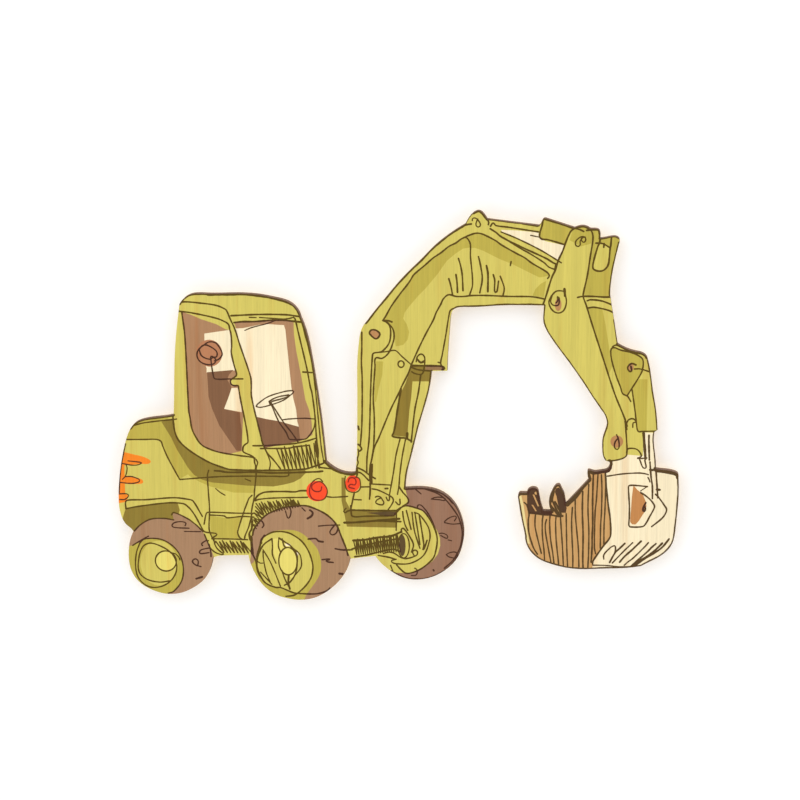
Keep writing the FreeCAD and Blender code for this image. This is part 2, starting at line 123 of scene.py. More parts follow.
# Colour fields in painting order: name, colour, smooth outline or not, points.
FIELDS = (
    ("body_band", "green_deep", False,
     ((-201, -86.2), (-192.5, -85.7), (-172.2, -85.2), (-168.9, -86.4), (-166.3, -93.8),
      (-162.4, -101.4), (-156.6, -112.5), (-150, -108.5), (-158, -95), (-164, -80),
      (-163.5, -69), (-175, -64), (-201, -76))),
    ("body_shade", "green_deep", False,
     ((-168, -75), (-155, -103), (-150, -110), (-143, -114), (-136, -117), (-120, -121),
      (-106, -121), (-106, -105.3), (-121.4, -105.1), (-125.2, -104.3), (-134.7, -101),
      (-140.5, -98.1), (-150, -92), (-156.6, -85.7), (-159.3, -79.2), (-160.3, -71.1))),
    ("body_sweep", "olive", False,
     ((-168.3, -72.9), (-161.6, -84.1), (-158.5, -91.1), (-150.7, -104.5), (-146.6, -109.3),
      (-141.3, -112.5), (-134.4, -114.3), (-110.4, -116), (-92.7, -116.2), (-84.8, -114.6),
      (-78.9, -112.9), (-74.1, -110.1), (-70.3, -106), (-71.4, -103.7), (-84.1, -104.6),
      (-115.6, -105.3), (-121.4, -105.1), (-125.2, -104.3), (-134.7, -101), (-140.5, -98.1),
      (-150, -92), (-153.7, -88.9), (-156.6, -85.7), (-159.3, -79.2), (-160.3, -71.1))),
    ("fender_shade", "olive", False,
     ((-194, -134), (-179.5, -130.9), (-162.5, -129), (-158, -129.4), (-156.8, -134),
      (-157.5, -136.8), (-161, -141), (-168, -140), (-177, -141), (-184, -145), (-189, -149.5),
      (-199, -149))),
    ("flame_top", "orange", True,
     ((-200, -94.6), (-193.6, -94.6), (-187.5, -96), (-181.5, -97.3), (-176, -100.3),
      (-177.5, -102.2), (-182.6, -102.4), (-192.3, -103.4), (-200, -103.4))),
    ("flame_column", "orange", False,
     ((-201, -101), (-194.2, -102), (-194, -127.5), (-201, -128))),
    ("flame_middle", "orange", True,
     ((-200, -110.5), (-193.3, -110.9), (-187, -111.7), (-181.4, -114.8), (-187, -116.5),
      (-194.7, -116.5), (-200, -116))),
    ("flame_low", "orange", False,
     ((-200, -123), (-194.5, -123), (-191.7, -124.8), (-193.4, -129), (-200, -130.5))),
    ("step_box", "green_deep", False,
     ((-136.5, -137.5), (-124.5, -139), (-114.5, -138), (-117.3, -148), (-115.5, -153),
      (-135.5, -153.3))),
    ("chassis_shade", "olive", False,
     ((-46.5, -109), (-44, -109), (-43.6, -125), (-40.4, -131.4), (-9.3, -131.1), (-10, -134.8),
      (-10, -143), (-43, -143), (-46.5, -125))),
    ("chassis_wedge", "shade_brown", False,
     ((-30, -133), (-14, -131.8), (-9.5, -132), (-10, -134.5), (-19, -134.8))),
    ("rear_tyre", "tyre_near", False,
     ((-196, -150), (-188.3, -149.4), (-186.8, -147.2), (-180.3, -142.2), (-177.1, -140.9),
      (-172.8, -140.2), (-167.5, -140.1), (-161.1, -141), (-161.8, -136.4), (-158.3, -136.6),
      (-151.5, -139.9), (-144.7, -145.1), (-141.1, -148.8), (-136.9, -157.6), (-134, -166),
      (-134, -196), (-200, -196), (-200, -150))),
    ("rear_rim", "green_deep", False,
     ((-200, -161), (-189.7, -159.6), (-187, -157.7), (-184.6, -157.6), (-181.6, -154.9),
      (-176.3, -154.4), (-170.9, -154.7), (-167.2, -155.9), (-163.5, -158.2), (-160.4, -161.1),
      (-157.8, -164.6), (-156, -168.6), (-155.1, -173.9), (-155.2, -179.3), (-156.3, -183.6),
      (-158.8, -188), (-162, -191.3), (-165.8, -192.7), (-168, -198), (-200, -198))),
    ("middle_tyre", "tyre_near", False,
     ((-107.3, -150.6), (-106.2, -146.2), (-101.8, -140), (-99.1, -137.2), (-95.9, -134.9),
      (-87.3, -131.1), (-83, -130.1), (-72.3, -129), (-66.9, -130.1), (-61.6, -132.2),
      (-57.3, -134.6), (-53.6, -137.6), (-50.5, -141.1), (-48.6, -145), (-45, -154.9),
      (-40.4, -165), (-40, -198), (-112, -198))),
    ("middle_rim", "green_deep", True,
     ((-101.5, -154.6), (-99.5, -151.6), (-94, -147.6), (-83.2, -146.2), (-77.8, -146.7),
      (-72.5, -149.1), (-64.6, -156.9), (-62, -161.9), (-60.7, -168.5), (-61, -174.6),
      (-63.2, -180.1), (-71.3, -192.2), (-74, -198), (-92, -198), (-109, -186), (-112, -173),
      (-106.8, -169.5))),
    ("middle_dish", "green", True,
     ((-101, -153.8), (-97.4, -150), (-93.9, -148.2), (-89.1, -147.5), (-80.5, -149.2),
      (-73.6, -154.1), (-68.9, -161.4), (-66.4, -169.7), (-67.5, -179.1), (-73, -187),
      (-76.2, -189.8), (-82.6, -189.1), (-98.1, -184.2), (-102.8, -178.2), (-104.5, -169.4),
      (-103.8, -163))),
    ("middle_light", "hub_yellow", False,
     ((-94, -153), (-89.3, -152), (-81.3, -157.3), (-77.2, -163.3), (-76.9, -167.7),
      (-78.2, -176.6), (-80.1, -180.5), (-83.2, -178), (-89, -172), (-93, -163))),
    ("front_tyre", "tyre_far", False,
     ((-3.4, -113), (-3, -118), (-1.2, -124.3), (-2.7, -127.8), (1.5, -128.2), (4.6, -129.2),
      (9.1, -131.3), (12.6, -135.2), (18, -144.3), (20, -149.5), (20.2, -154.8), (18.6, -160.7),
      (14.8, -166), (7.2, -171.3), (0.8, -174.2), (-3, -174.6), (-9, -174.4), (-18, -178),
      (0, -184), (42, -180), (42, -112))),
    ("door_glass", "glass_brown", False,
     ((-153, 2.4), (-147, 0.6), (-140.6, -2.2), (-129.9, -5.6), (-124, -8.8), (-121.2, -9.6),
      (-120.2, -11.5), (-119.8, -20.2), (-120.1, -24.6), (-118.5, -32.7), (-116.7, -39.2),
      (-120.8, -43.6), (-119.8, -46.8), (-115.8, -47.2), (-112.5, -65.7), (-113.7, -86.4),
      (-113.4, -92), (-122.9, -94.4), (-129.8, -93.1), (-138.8, -89.9), (-141.7, -87.8),
      (-145.6, -81.3), (-148.2, -74.1), (-149.5, -65), (-150.9, -22.9), (-151.7, -7.7))),
    ("door_light", "bare", False,
     ((-138.1, -12.1), (-121.4, -9.4), (-119.8, -18), (-120.1, -24.6), (-117.6, -36.8),
      (-137, -38.6), (-136.9, -35.5), (-138.1, -33))),
    ("seat", "seat_brown", False,
     ((-136.7, -38.4), (-118.8, -36.5), (-121.8, -39.8), (-123.1, -43.1), (-120.8, -47.4),
      (-120.3, -49), (-121.9, -54), (-125.5, -63.3), (-114.9, -65.6), (-114.5, -71.8),
      (-113.5, -78.3), (-113.7, -86.4), (-114.5, -91.9), (-117.5, -91.9), (-128.9, -74.8),
      (-133.6, -63.5), (-135.9, -55.3))),
    ("seat_light", "bare", False,
     ((-120.3, -49), (-115.6, -48.6), (-114.4, -56.5), (-113.6, -65.3), (-125.5, -63.3),
      (-121.9, -54))),
    ("front_glass", "bare", False,
     ((-117.6, -8.2), (-112, -8), (-101.5, -5.6), (-95, -5), (-81, -5.4), (-80.5, -17), (-79, -36),
      (-76.5, -56), (-72, -75), (-99, -86), (-103.5, -69.9), (-106.8, -54.8), (-107.4, -40.6))),
    ("glass_top", "glass_brown", False,
     ((-118, -4.3), (-112.3, -3.6), (-104.3, -3.4), (-88.3, -2.1), (-80.3, -2.6), (-78, -3.1),
      (-78, -5.7), (-88, -5.4), (-95, -5), (-101.5, -5.6), (-112, -8), (-116.6, -8.3))),
    ("glass_side", "glass_brown", False,
     ((-84.5, -5.7), (-78.2, -3.1), (-77.8, -11.8), (-76.4, -22.6), (-72.9, -41.5), (-70.5, -56.1),
      (-68.1, -62.7), (-66.5, -70.8), (-65.8, -80), (-74.2, -84.5), (-75.3, -73.7), (-76.1, -71),
      (-76.8, -62.9), (-78.7, -55.2), (-79.9, -47.6), (-83.6, -8.6))),
    ("cab_floor", "seat_brown", False,
     ((-103.7, -68.3), (-96.5, -69.8), (-88.6, -71), (-75.1, -74.6), (-74.2, -84.5), (-97.5, -89.5),
      (-98.5, -89.5), (-100, -84.5))),
    ("boom_band", "green_deep", False,
     ((-18.4, -1.3), (-9.9, 12.9), (-2.4, 22.6), (2.1, 29.6), (15, 41.1), (20.1, 44.6),
      (25.2, 48.8), (30, 51.3), (33.7, 54.1), (37.4, 56), (41.2, 57.4), (44.4, 57.9), (48.1, 57),
      (56.1, 53), (59.7, 50.4), (69.7, 44.8), (75, 42.1), (79.9, 38.5), (89.6, 32.8), (91.5, 30.3),
      (85, 29), (66.7, 37.8), (58.7, 40.9), (48, 46.2), (42.7, 48), (38.9, 48.2), (34.7, 47.6),
      (29.9, 44.3), (24, 39.3), (17.6, 30), (10.1, 20.8), (5.1, 15.6), (-0.9, 8.4), (-3.9, 4.3),
      (-4.9, 0.2), (-2.4, -3.8), (-0.9, -8.9), (-1.9, -14), (-4.9, -17.6), (-9.9, -18.7),
      (-11.4, -8), (-12.7, -5.5), (-14.9, -2.5))),
    ("boom_tip_shade", "green_deep", False,
     ((89.5, 26.8), (85.9, 24.9), (82.4, 21.2), (80.6, 16.9), (87.9, 15.8))),
    ("boom_strip", "green_deep", False,
     ((-23, -29), (-18.2, -29), (-18.8, -38), (-21.2, -47.3), (-23, -56.5), (-24.2, -56.5))),
    ("cylinder_dark", "olive_dark", False,
     ((0.2, -31.3), (9.5, -32), (13.6, -35), (12.7, -42), (1.4, -42.2), (0.5, -53.2), (-0.7, -61.8),
      (-2.1, -80.1), (-12, -79.4), (-10.5, -74.1), (-7.8, -57), (-6.3, -49.7), (-3.3, -43.5),
      (-0.4, -34.9))),
    ("boom_foot", "bar_brown", False,
     ((10, -31.5), (22, -31.5), (22, -34.3), (10, -34.3))),
    ("pivot_pin", "rust", True,
     ((-27.4, -9.6), (-26.4, -8), (-23.9, -7.7), (-21.4, -9), (-20.4, -10.7), (-21.9, -13.3),
      (-23.4, -13.7), (-25.4, -12.4))),
    ("rod_gap", "bare", False,
     ((59.5, 60.3), (70, 60), (84, 58.8), (84.8, 55.6), (88.5, 53.2), (101.5, 50.4), (97.2, 40.8),
      (85.5, 47.4), (70, 54.9), (60, 59.2))),
    ("arm_cylinder", "green_deep", False,
     ((86.9, 67.5), (85, 57), (87, 54.5), (101, 51.2), (107.5, 62), (88.5, 68))),
    ("stick_head_shade", "green_deep", False,
     ((104.5, 54), (112, 50), (118.6, 52), (119.4, 58.2), (117.2, 61.2), (111, 64), (106.4, 61))),
    ("stick_side", "green_deep", False,
     ((113.8, 17), (116.3, 30.3), (119.7, 55.7), (119, 61), (125, 63), (140, 60), (140, 16.6))),
    ("stick_slot", "green", False,
     ((120, 36), (120.5, 40.9), (122.8, 49.6), (124, 52), (128.2, 50.9), (131, 49.4), (130.6, 44.2),
      (129.1, 36.5), (126.7, 34.3), (124.3, 33.8), (121.9, 34.2))),
    ("stick_shade", "green_deep", False,
     ((116.5, 10), (126.5, 9), (129, -3), (133.6, -30), (131.5, -35), (127.9, -25.4),
      (119.7, -0.9))),
    ("linkage_plate", "green_deep", False,
     ((135.4, -17.1), (138.9, -18.6), (145.8, -20.2), (151, -22.3), (153.7, -24.9), (153.7, -31),
      (152, -35.5), (144.1, -48.8), (140.9, -48), (136.6, -36.7), (133.4, -26.2), (132.5, -19.6),
      (133.3, -17.4))),
    ("link_shade", "green_deep", False,
     ((151, -38), (157, -38), (157, -72.8), (151.5, -73.3), (150.3, -68), (147, -45.2))),
    ("bucket_light", "bare", False,
     ((132.4, -93.6), (135.8, -93.5), (140.1, -92.5), (143, -91.1), (144.3, -89.3), (155, -90),
      (155, -74), (164, -74), (166, -97), (184, -98), (184, -172), (122.7, -172), (118, -165),
      (121.9, -100.5), (130, -99))),
    ("bucket_tan", "tan", False,
     ((130.3, -102.5), (131.3, -113.6), (133, -127.2), (133.9, -132.6), (134.5, -139.6),
      (134.5, -144.5), (133.3, -147.8), (128.5, -154.4), (123.1, -162.8), (122, -172), (70, -172),
      (70, -105), (112, -105), (119.9, -99), (129, -99.5))),
    ("bucket_pale", "pale_strip", False,
     ((70, -117.5), (74.5, -119), (76, -125), (79, -145), (80.5, -152), (74, -152), (70, -135))),
    ("tooth_left", "tooth", False,
     ((78.3, -117.5), (79.2, -114.8), (81.1, -112.9), (83.2, -112.6), (85.3, -114.1),
      (86.7, -118.5), (87.3, -125), (88.8, -129.3), (95.1, -129.1), (95.1, -131.6), (79.8, -130.8),
      (78.4, -125.1))),
    ("tooth_streak_low", "tan", False,
     ((81.3, -125.1), (82.4, -125.1), (85, -129.4), (84, -129.4))),
    ("tooth_streak_high", "tan", False,
     ((82, -118), (83.1, -118), (86.5, -126), (85.5, -126))),
    ("tooth_bar", "tooth_dark", False,
     ((88.05, -128.5), (94.9, -128.4), (95.2, -131.9), (88.1, -131.7))),
    ("tooth_right", "tooth", False,
     ((97.4, -113.4), (99.5, -112.8), (101.6, -116), (103.8, -121.4), (104.9, -126.8),
      (104.4, -130.1), (101.3, -130.1), (99.1, -124.7), (98, -118.8), (96.9, -116.1))),
    ("bucket_bar", "tooth", False,
     ((121.9, -100.5), (132.6, -98.6), (134.2, -96.9), (134.4, -99.3), (131.1, -102.2),
      (122.2, -102.7))),
    ("bucket_patch", "patch", False,
     ((149, -110.5), (149.8, -111), (151.6, -113.1), (153.8, -114.8), (155.9, -117.4),
      (157.7, -121.7), (158, -124.5), (156.5, -128.8), (152.9, -134.9), (150.9, -137.1),
      (148.8, -137.1), (147.3, -135.5), (148.1, -118.7))),
)

# Round colour spots: name, colour, centre, half width, half height.
# Oval colour areas, painted over the fields: name, colour, centre, half width, half height.
SPOTS = (
    ("rear_dish", "green", (-171.8, -171.7), 12.8, 15.8),
    ("hub_rear", "hub_yellow", (-167, -170), 7.2, 7.1),
    ("hub_middle", "hub_yellow", (-83.2, -168.1), 6.2, 9.5),
    ("mirror", "salmon", (-134.9, -25.4), 8.8, 9.2),
    ("axle_end", "shade_brown", (-5.4, -155.3), 2.2, 7.4),
    ("stick_pivot", "rust", (97.5, 11), 2.2, 4.2),
    ("tail_pin", "rust", (137.5, -80.5), 4.2, 4.2),
    ("link_pin", "rust", (146, -30), 1.8, 2.6),
    ("tooth_spot", "tan", (84.3, -117), 1, 1),
    ("hub_glint_top", "bare", (-83.2, -156.6), 1.9, 1),
    ("hub_glint_side", "bare", (-76.9, -163.2), 0.7, 1.8),
    ("lamp_big", "red", (-63.2, -118.8), 7.2, 7.1),
    ("lamp_small", "red", (-38.9, -113), 5, 5.7),
)

# Pen strokes by region: (width factor, points). A closed stroke repeats its first point.
STROKES = {
    "rear_body": (
        (1, (-187.7, -76), (-180, -73.9), (-157.9, -70.9)),
        (1, (-192.5, -85.7), (-179.8, -85.4), (-172.2, -85.2), (-168.9, -86.4), (-167.7, -89.7),
         (-164.3, -97.8), (-156.6, -112.5)),
        (1, (-156.3, -112.7), (-130, -110.2), (-110.3, -109.4), (-92.7, -109.1), (-82.6, -108.6),
         (-82.3, -105.9)),
        (0.9, (-193, -88.7), (-195.4, -99.1), (-197, -108.4), (-198.2, -122.8)),
        (0.8, (-191.6, -100.5), (-183.2, -101.3), (-182.3, -101.8), (-185.3, -103.2),
         (-189.3, -103.4), (-195.4, -102.4)),
        (0.8, (-192.9, -103.4), (-192.3, -105.7), (-193.5, -110.9), (-195.7, -113.4)),
        (0.8, (-193.3, -111.5), (-190, -111.3), (-187, -112), (-183.9, -114), (-187, -115.8),
         (-191.1, -116.1), (-197.2, -115.6)),
        (0.8, (-198.1, -123.6), (-192.8, -123.5), (-191.7, -124.8), (-194.4, -127.4),
         (-197.9, -127.5)),
        (1.1, (-193.7, -134), (-193.8, -128.9), (-191.7, -127.8), (-180, -127.3), (-160.8, -125.5),
         (-150.2, -126.5), (-147.6, -127.5), (-141.4, -138.1)),
        (1.1, (-193.8, -133.9), (-186.5, -132.3), (-170.5, -129.8), (-162.5, -129),
         (-156.6, -129.2), (-152.9, -130.1), (-147.7, -135.6), (-141.1, -147.8)),
        (1, (-136.6, -105.9), (-137.5, -109.2), (-137.1, -119.5), (-136.4, -133.1),
         (-136.9, -146.7), (-135.5, -151.5), (-133, -156.5)),
        (0.8, (-132, -118.5), (-129.2, -120.9), (-125.7, -123)),
        (0.8, (-111.9, -111.3), (-108.2, -112.8)),
        (1, (-140.3, -143.5), (-138.6, -135.8), (-137, -135.1), (-118.3, -135.3), (-105.6, -135.2)),
        (1, (-136.3, -137), (-126.2, -137.5), (-124.7, -138.7), (-114.1, -137.5), (-106.2, -137.8)),
        (1, (-135.2, -153.6), (-121.2, -153.5), (-110.7, -153.7)),
        (1, (-107.3, -122.6), (-109.7, -125.4), (-117.3, -147.8), (-117, -150.5), (-115.6, -152.8),
         (-113.8, -153.7)),
        (1, (-107.5, -135.7), (-109.7, -144.4), (-112.5, -151.5), (-112.7, -153.6)),
        (1, (-142, -147), (-139.5, -149), (-132.3, -149.8), (-131.6, -150.6), (-134.3, -152.7)),
        (1, (-140.2, -150.6), (-137.9, -156.5), (-136.7, -159.6), (-133.6, -162.7),
         (-130.5, -164.1), (-127.3, -164.3), (-128.9, -162.9), (-131.4, -160.6), (-133.2, -157.4),
         (-133.7, -154.4)),
        (1, (-141.6, -158.6), (-142.2, -157.3), (-138.7, -154.8), (-137.5, -155)),
        (1, (-136.4, -160), (-142.4, -161.5), (-143.8, -163.1), (-143, -164.2), (-137.2, -163.4)),
        (1, (-137, -157.6), (-136, -163), (-135.9, -166.2)),
    ),
    "rear_wheel": (
        (1, (-188.3, -149.4), (-184.1, -145), (-177.1, -140.9), (-167.5, -140.1), (-161.1, -141)),
        (1, (-162.5, -137.5), (-161, -135.8), (-151.5, -139.9), (-147.8, -142.5), (-144.7, -145.1),
         (-141.1, -148.8)),
        (0.9, (-153.4, -144.9), (-152.7, -143.2), (-154.7, -142.2), (-158.4, -142.3),
         (-161.4, -143.4), (-162.3, -145.3), (-160.1, -146.3), (-150.6, -146.6)),
        (0.8, (-153.9, -148.9), (-142.7, -148.8)),
        (1, (-142.9, -173.4), (-146.9, -172.1), (-148.7, -169.9), (-147.6, -168.3),
         (-145.8, -168.2), (-144.7, -169.8), (-145, -172)),
        (1.4, (-146.3, -182), (-142.1, -180.6)),
        (0.9, (-189.7, -159.6), (-182.4, -154.9), (-178.6, -152.8)),
        (1, (-184.6, -157.6), (-181.6, -154.9), (-170.9, -154.7), (-163.5, -158.2),
         (-157.8, -164.6), (-155.1, -173.9), (-156.3, -183.6), (-162, -191.3), (-165.8, -192.7)),
        (1, (-184.6, -157.6), (-187.1, -164.4), (-187.9, -174.6), (-185.9, -182.7),
         (-179.6, -188.2), (-171.7, -188.4), (-164.2, -184.2), (-160, -177.2), (-160.1, -169.6),
         (-163.7, -163.7), (-171.1, -159.3), (-177.9, -157.7), (-182.8, -160.5), (-185.6, -168.6),
         (-185.5, -178.3), (-180, -183.3), (-171.6, -185), (-164.6, -184)),
        (0.9, (-163.7, -164.2), (-160.6, -164.7), (-157.9, -167.3), (-157.3, -169.1)),
    ),
    "cab": (
        (1.1, (-154.6, 8.1), (-151.6, 9.2), (-140.4, 8.5), (-129.8, 7.1), (-123.9, 4.7),
         (-122.6, 3.1), (-120.6, -1.8), (-117.3, -9.3), (-114.7, -18), (-107.4, -40.6),
         (-106.9, -46.1), (-106.8, -54.8), (-101, -80.8), (-99.8, -86.1), (-96.5, -93.2),
         (-92.6, -97.6), (-87.8, -103.8)),
        (1.1, (-155.5, 2.8), (-147, 1.9), (-129.9, -1.6), (-123.1, -4.4), (-121.5, -6.1),
         (-121, -8.8), (-120.2, -11.5), (-119.8, -20.2), (-120.1, -24.6), (-118.5, -32.7),
         (-116.7, -39.2), (-117, -40.5), (-120.8, -43.6), (-120.8, -45.8), (-119.8, -46.8),
         (-117.9, -47.3), (-115.8, -47.2), (-115.5, -48.9), (-114.3, -56.5), (-110.8, -74.9),
         (-109.6, -84.1), (-109.8, -86.3), (-111.3, -87.3), (-112.7, -88.8), (-113.2, -91.8),
         (-112.2, -93.1), (-107.4, -95.2), (-105.6, -96.8), (-105.3, -99.8), (-104.6, -102.4),
         (-104.9, -105.7)),
        (1, (-104.3, -97.6), (-103.2, -100), (-104.1, -103), (-104.4, -109), (-105.6, -119.8),
         (-105.9, -124.2), (-107.9, -135.2), (-107.4, -140.6), (-107.8, -146), (-109.4, -149.3),
         (-108.9, -153.7)),
        (1.1, (-153.1, 2.1), (-151.3, -14.2), (-149.5, -65), (-148.8, -69.2), (-147.4, -77.9),
         (-143.8, -85.1), (-141.7, -87.8), (-138.8, -89.9), (-129.8, -93.1), (-115.4, -95.3),
         (-108.5, -96), (-105, -96.8)),
        (1.2, (-160.5, -67.8), (-159.3, -79.2), (-156.6, -85.7), (-150, -92), (-140.5, -98.1),
         (-134.7, -101), (-125.2, -104.3), (-121.4, -105.1), (-98.4, -105.1), (-71.4, -103.7),
         (-63.9, -101.3), (-58.4, -99.2), (-58.1, -97.6)),
        (1.3, (-132.6, -106.1), (-128.9, -106.3), (-123.6, -107), (-105, -106.5), (-92.7, -106.8),
         (-63.4, -105.4), (-59.2, -104.9)),
        (0.9, (-98.3, -89.9), (-95.7, -95.9), (-94.6, -100.2), (-95.3, -104.8)),
        (1.2, (-120, 0.3), (-101.6, 1.4), (-82.9, 1.5), (-73.9, 0.4)),
        (0.9, (-107.7, -0.6), (-103.2, -0.7)),
        (0.9, (-100.8, -0.6), (-84.6, -1.4), (-80.3, -0.8), (-78.1, -0.1)),
        (1.3, (-118, -4.3), (-112.3, -3.6), (-104.3, -3.4), (-88.3, -2.1), (-72.6, -3.3)),
        (0.8, (-110.8, -9.5), (-106.1, -7.5), (-96.4, -4.8), (-89.9, -2.4)),
        (1.1, (-78.1, -0.1), (-77.1, -0.9), (-75.1, -9.5), (-69.3, -35), (-67.1, -47.4),
         (-66.1, -51), (-64.2, -66.4), (-63.4, -79.5), (-63, -84.4), (-62.2, -90.4),
         (-62.4, -100.1), (-61.5, -102.8)),
        (0.9, (-73.9, 0.5), (-71.4, -7.9), (-65.6, -33.3), (-60.2, -87), (-58.7, -96.8),
         (-58.5, -99.5)),
        (1.1, (-72.1, -37.1), (-65.9, -37.4)),
        (1, (-138.3, -19.7), (-135.6, -17.9), (-132.3, -17.7), (-129.7, -19), (-126.3, -25.2),
         (-127.4, -28.2), (-129.6, -29.9), (-131.5, -30.5)),
        (1, (-138.3, -19.7), (-142, -22.8), (-143.3, -26), (-142.7, -29.3), (-140.6, -31.7),
         (-137.4, -33), (-134.2, -33.2), (-131.5, -32.1), (-130.7, -29.6), (-131.9, -28.3),
         (-133.8, -27.5), (-133.9, -30.2), (-132.5, -40.5), (-131.4, -42.8), (-121, -42.7),
         (-112.5, -42.5)),
        (1, (-141.8, -23.1), (-139.6, -20.4), (-136.6, -19.9), (-130.9, -23.1), (-129.6, -25.7),
         (-130.4, -27.9), (-132.5, -28.2), (-134.7, -29.5), (-140, -27.4), (-141.8, -23.1)),
    ),
    "cockpit": (
        (0.9, (-103.8, -61.2), (-102.8, -59.6), (-95.9, -54.5), (-85.2, -50.8), (-80.4, -50),
         (-78.3, -50.4), (-80.2, -52.7), (-85.2, -56.5), (-93.3, -59.8), (-101.2, -61.8),
         (-103.8, -61.2)),
        (1, (-95.1, -57.8), (-92.2, -55.8), (-87.9, -54.1), (-84.2, -53.4), (-81.2, -53.2),
         (-85.8, -55.4), (-92.7, -57.5), (-94, -58.6)),
        (1.9, (-94.4, -58.2), (-93.8, -59.4)),
        (1, (-93.5, -59.7), (-88.6, -71.3), (-83.6, -78.8), (-82.3, -82), (-81.3, -83.4),
         (-72.2, -83.2), (-69.6, -82.3), (-65.3, -76.2), (-63.9, -70.8)),
        (1, (-92.7, -60.2), (-85.4, -71.7), (-79.6, -79.2), (-75.7, -85.1)),
        (0.9, (-86.4, -70.1), (-81.7, -69.4), (-71, -68.7), (-64.1, -69.1)),
        (1.1, (-106.3, -88.3), (-97.8, -88), (-78.6, -86.3), (-70.1, -84.4), (-63.5, -82.2)),
        (1.1, (-101.2, -90.1), (-81.9, -89.5), (-78.7, -88.6), (-68, -87.2)),
        (1.8, (-63.5, -84.5), (-62.6, -95)),
    ),
    "hood": (
        (1.2, (-105.3, -125.9), (-104.2, -123.7), (-102.1, -121.8), (-98.1, -120.2),
         (-84.8, -119.5), (-77.9, -119.6), (-74.7, -118.8), (-70.4, -118.6)),
        (1, (-105.4, -126.5), (-102.7, -125.4), (-93.6, -124.3), (-69.5, -123.2)),
        (1, (-56.2, -122.5), (-52.5, -122.8), (-42.4, -122)),
        (0.85, (-59.2, -112.1), (-61.3, -110.1), (-64.5, -111), (-67.1, -114.3), (-68.2, -119.2),
         (-66.7, -123.6), (-63, -125.1), (-58.7, -124.4), (-56.3, -120.6), (-56.5, -116.8),
         (-59.2, -113.1), (-61.8, -112.1), (-66, -114.3), (-66.6, -117), (-64.5, -118.9),
         (-60.8, -118.6), (-59.9, -115.8)),
        (0.85, (-43.9, -108.1), (-44.2, -112.7), (-42.9, -117.3), (-40.4, -118.9), (-36.2, -118.8),
         (-34, -116.5), (-33.7, -112.5), (-34.7, -109.2), (-37.2, -108.6)),
        (0.85, (-42, -112), (-41, -109.4), (-37.8, -109.3), (-36.6, -111.9), (-37.5, -113.9),
         (-40.4, -113.6), (-41.6, -115.3), (-37.8, -116.5)),
        (1, (-61.5, -102.3), (-52, -103.4), (-48.5, -104.6)),
    ),
    "middle_wheel": (
        (1.2, (-107.3, -150.6), (-106.2, -146.2), (-101.8, -140), (-99.1, -137.2), (-95.9, -134.9),
         (-87.3, -131.1), (-83, -130.1), (-72.3, -129), (-66.9, -130.1), (-57.3, -134.6),
         (-50.5, -141.1), (-46.8, -149.9), (-43.4, -158.7), (-42.3, -163.1)),
        (1.1, (-101.2, -156), (-101.4, -153.6), (-99.8, -151.6), (-93.9, -148.2), (-89.1, -147.5),
         (-84.8, -147.8), (-80.5, -149.2), (-73.6, -154.1), (-68.9, -161.4), (-66.4, -169.7),
         (-66.4, -174.1), (-67.5, -179.1), (-69.7, -183), (-73, -187), (-78.9, -191.8),
         (-84.8, -192.9)),
        (1.1, (-94, -152.6), (-99.4, -156.6), (-102.6, -161.9), (-104.5, -169.4), (-104.1, -173.8),
         (-100.7, -181.5), (-98.1, -184.2), (-91.7, -186.8), (-88.5, -186.8), (-79.4, -190.3),
         (-75.1, -190.7), (-65, -190.7), (-60.1, -189.7), (-56.4, -188), (-54.8, -186.3)),
        (0.9, (-105.4, -168.3), (-103.6, -177.1), (-98.6, -183.9), (-94.9, -186)),
        (0.9, (-102, -176.3), (-94.4, -184.7)),
        (1.3, (-99.2, -150.4), (-101.2, -153.8), (-102, -157), (-103.9, -163.3), (-104.5, -168.3)),
        (0.9, (-100.2, -160.5), (-95.2, -169.2), (-88.5, -185.9)),
        (0.9, (-100.2, -161.6), (-100, -166.5), (-98.2, -176.4), (-95.6, -182.9)),
        (0.8, (-104.6, -168.3), (-102.2, -169.9), (-99.8, -169.8)),
        (1, (-94, -152.6), (-93.7, -158.1), (-93.8, -163.6), (-91.5, -169.7)),
        (0.9, (-89.3, -152), (-89.6, -158.1), (-88, -162.4)),
        (1, (-87.1, -152.5), (-85.8, -157.4), (-84.6, -158.5)),
        (0.9, (-81.2, -157.9), (-75.4, -162.8), (-74.1, -167.7), (-74.4, -172.2), (-78.2, -177.5)),
        (1.1, (-89.3, -152), (-84.5, -155.2), (-81.3, -157.3), (-77.2, -163.3), (-76.9, -167.7),
         (-78.2, -176.6), (-82, -182.8), (-85.8, -185.1)),
        (1.3, (-82.8, -178.1), (-83.1, -182.8), (-82.1, -187.7)),
        (1, (-87.3, -175), (-85.7, -180.1), (-82.1, -187.4)),
        (0.9, (-84.6, -133.1), (-83.9, -135.8), (-82.6, -138), (-80.9, -134.1), (-81.3, -131)),
        (1.4, (-68, -132.1), (-66.2, -133.7), (-66.8, -136), (-69.7, -138)),
        (0.9, (-73.4, -130.6), (-71.2, -132.8)),
        (1, (-50.5, -141.1), (-54.5, -146.8), (-53.7, -148.7), (-51.6, -148.7), (-49.7, -146.7),
         (-48.9, -143.3)),
        (0.9, (-62.3, -143.1), (-56.4, -142.4), (-47.8, -142)),
        (1.3, (-69.3, -152.3), (-64, -151.9), (-62.4, -153.5), (-59.2, -154)),
        (1.1, (-59.9, -166.5), (-54.5, -166.1), (-57.2, -167.3), (-52.4, -168.3)),
        (1.2, (-50.9, -158.6), (-46.4, -159.3), (-39.5, -159.1)),
        (1.7, (-48.2, -176), (-46.1, -176.2)),
        (1, (-102.9, -140), (-100.8, -140.5), (-99.5, -143.3), (-100.6, -145)),
        (1.4, (-107.4, -140.6), (-107.8, -146), (-109.4, -149.3), (-108.9, -153.7)),
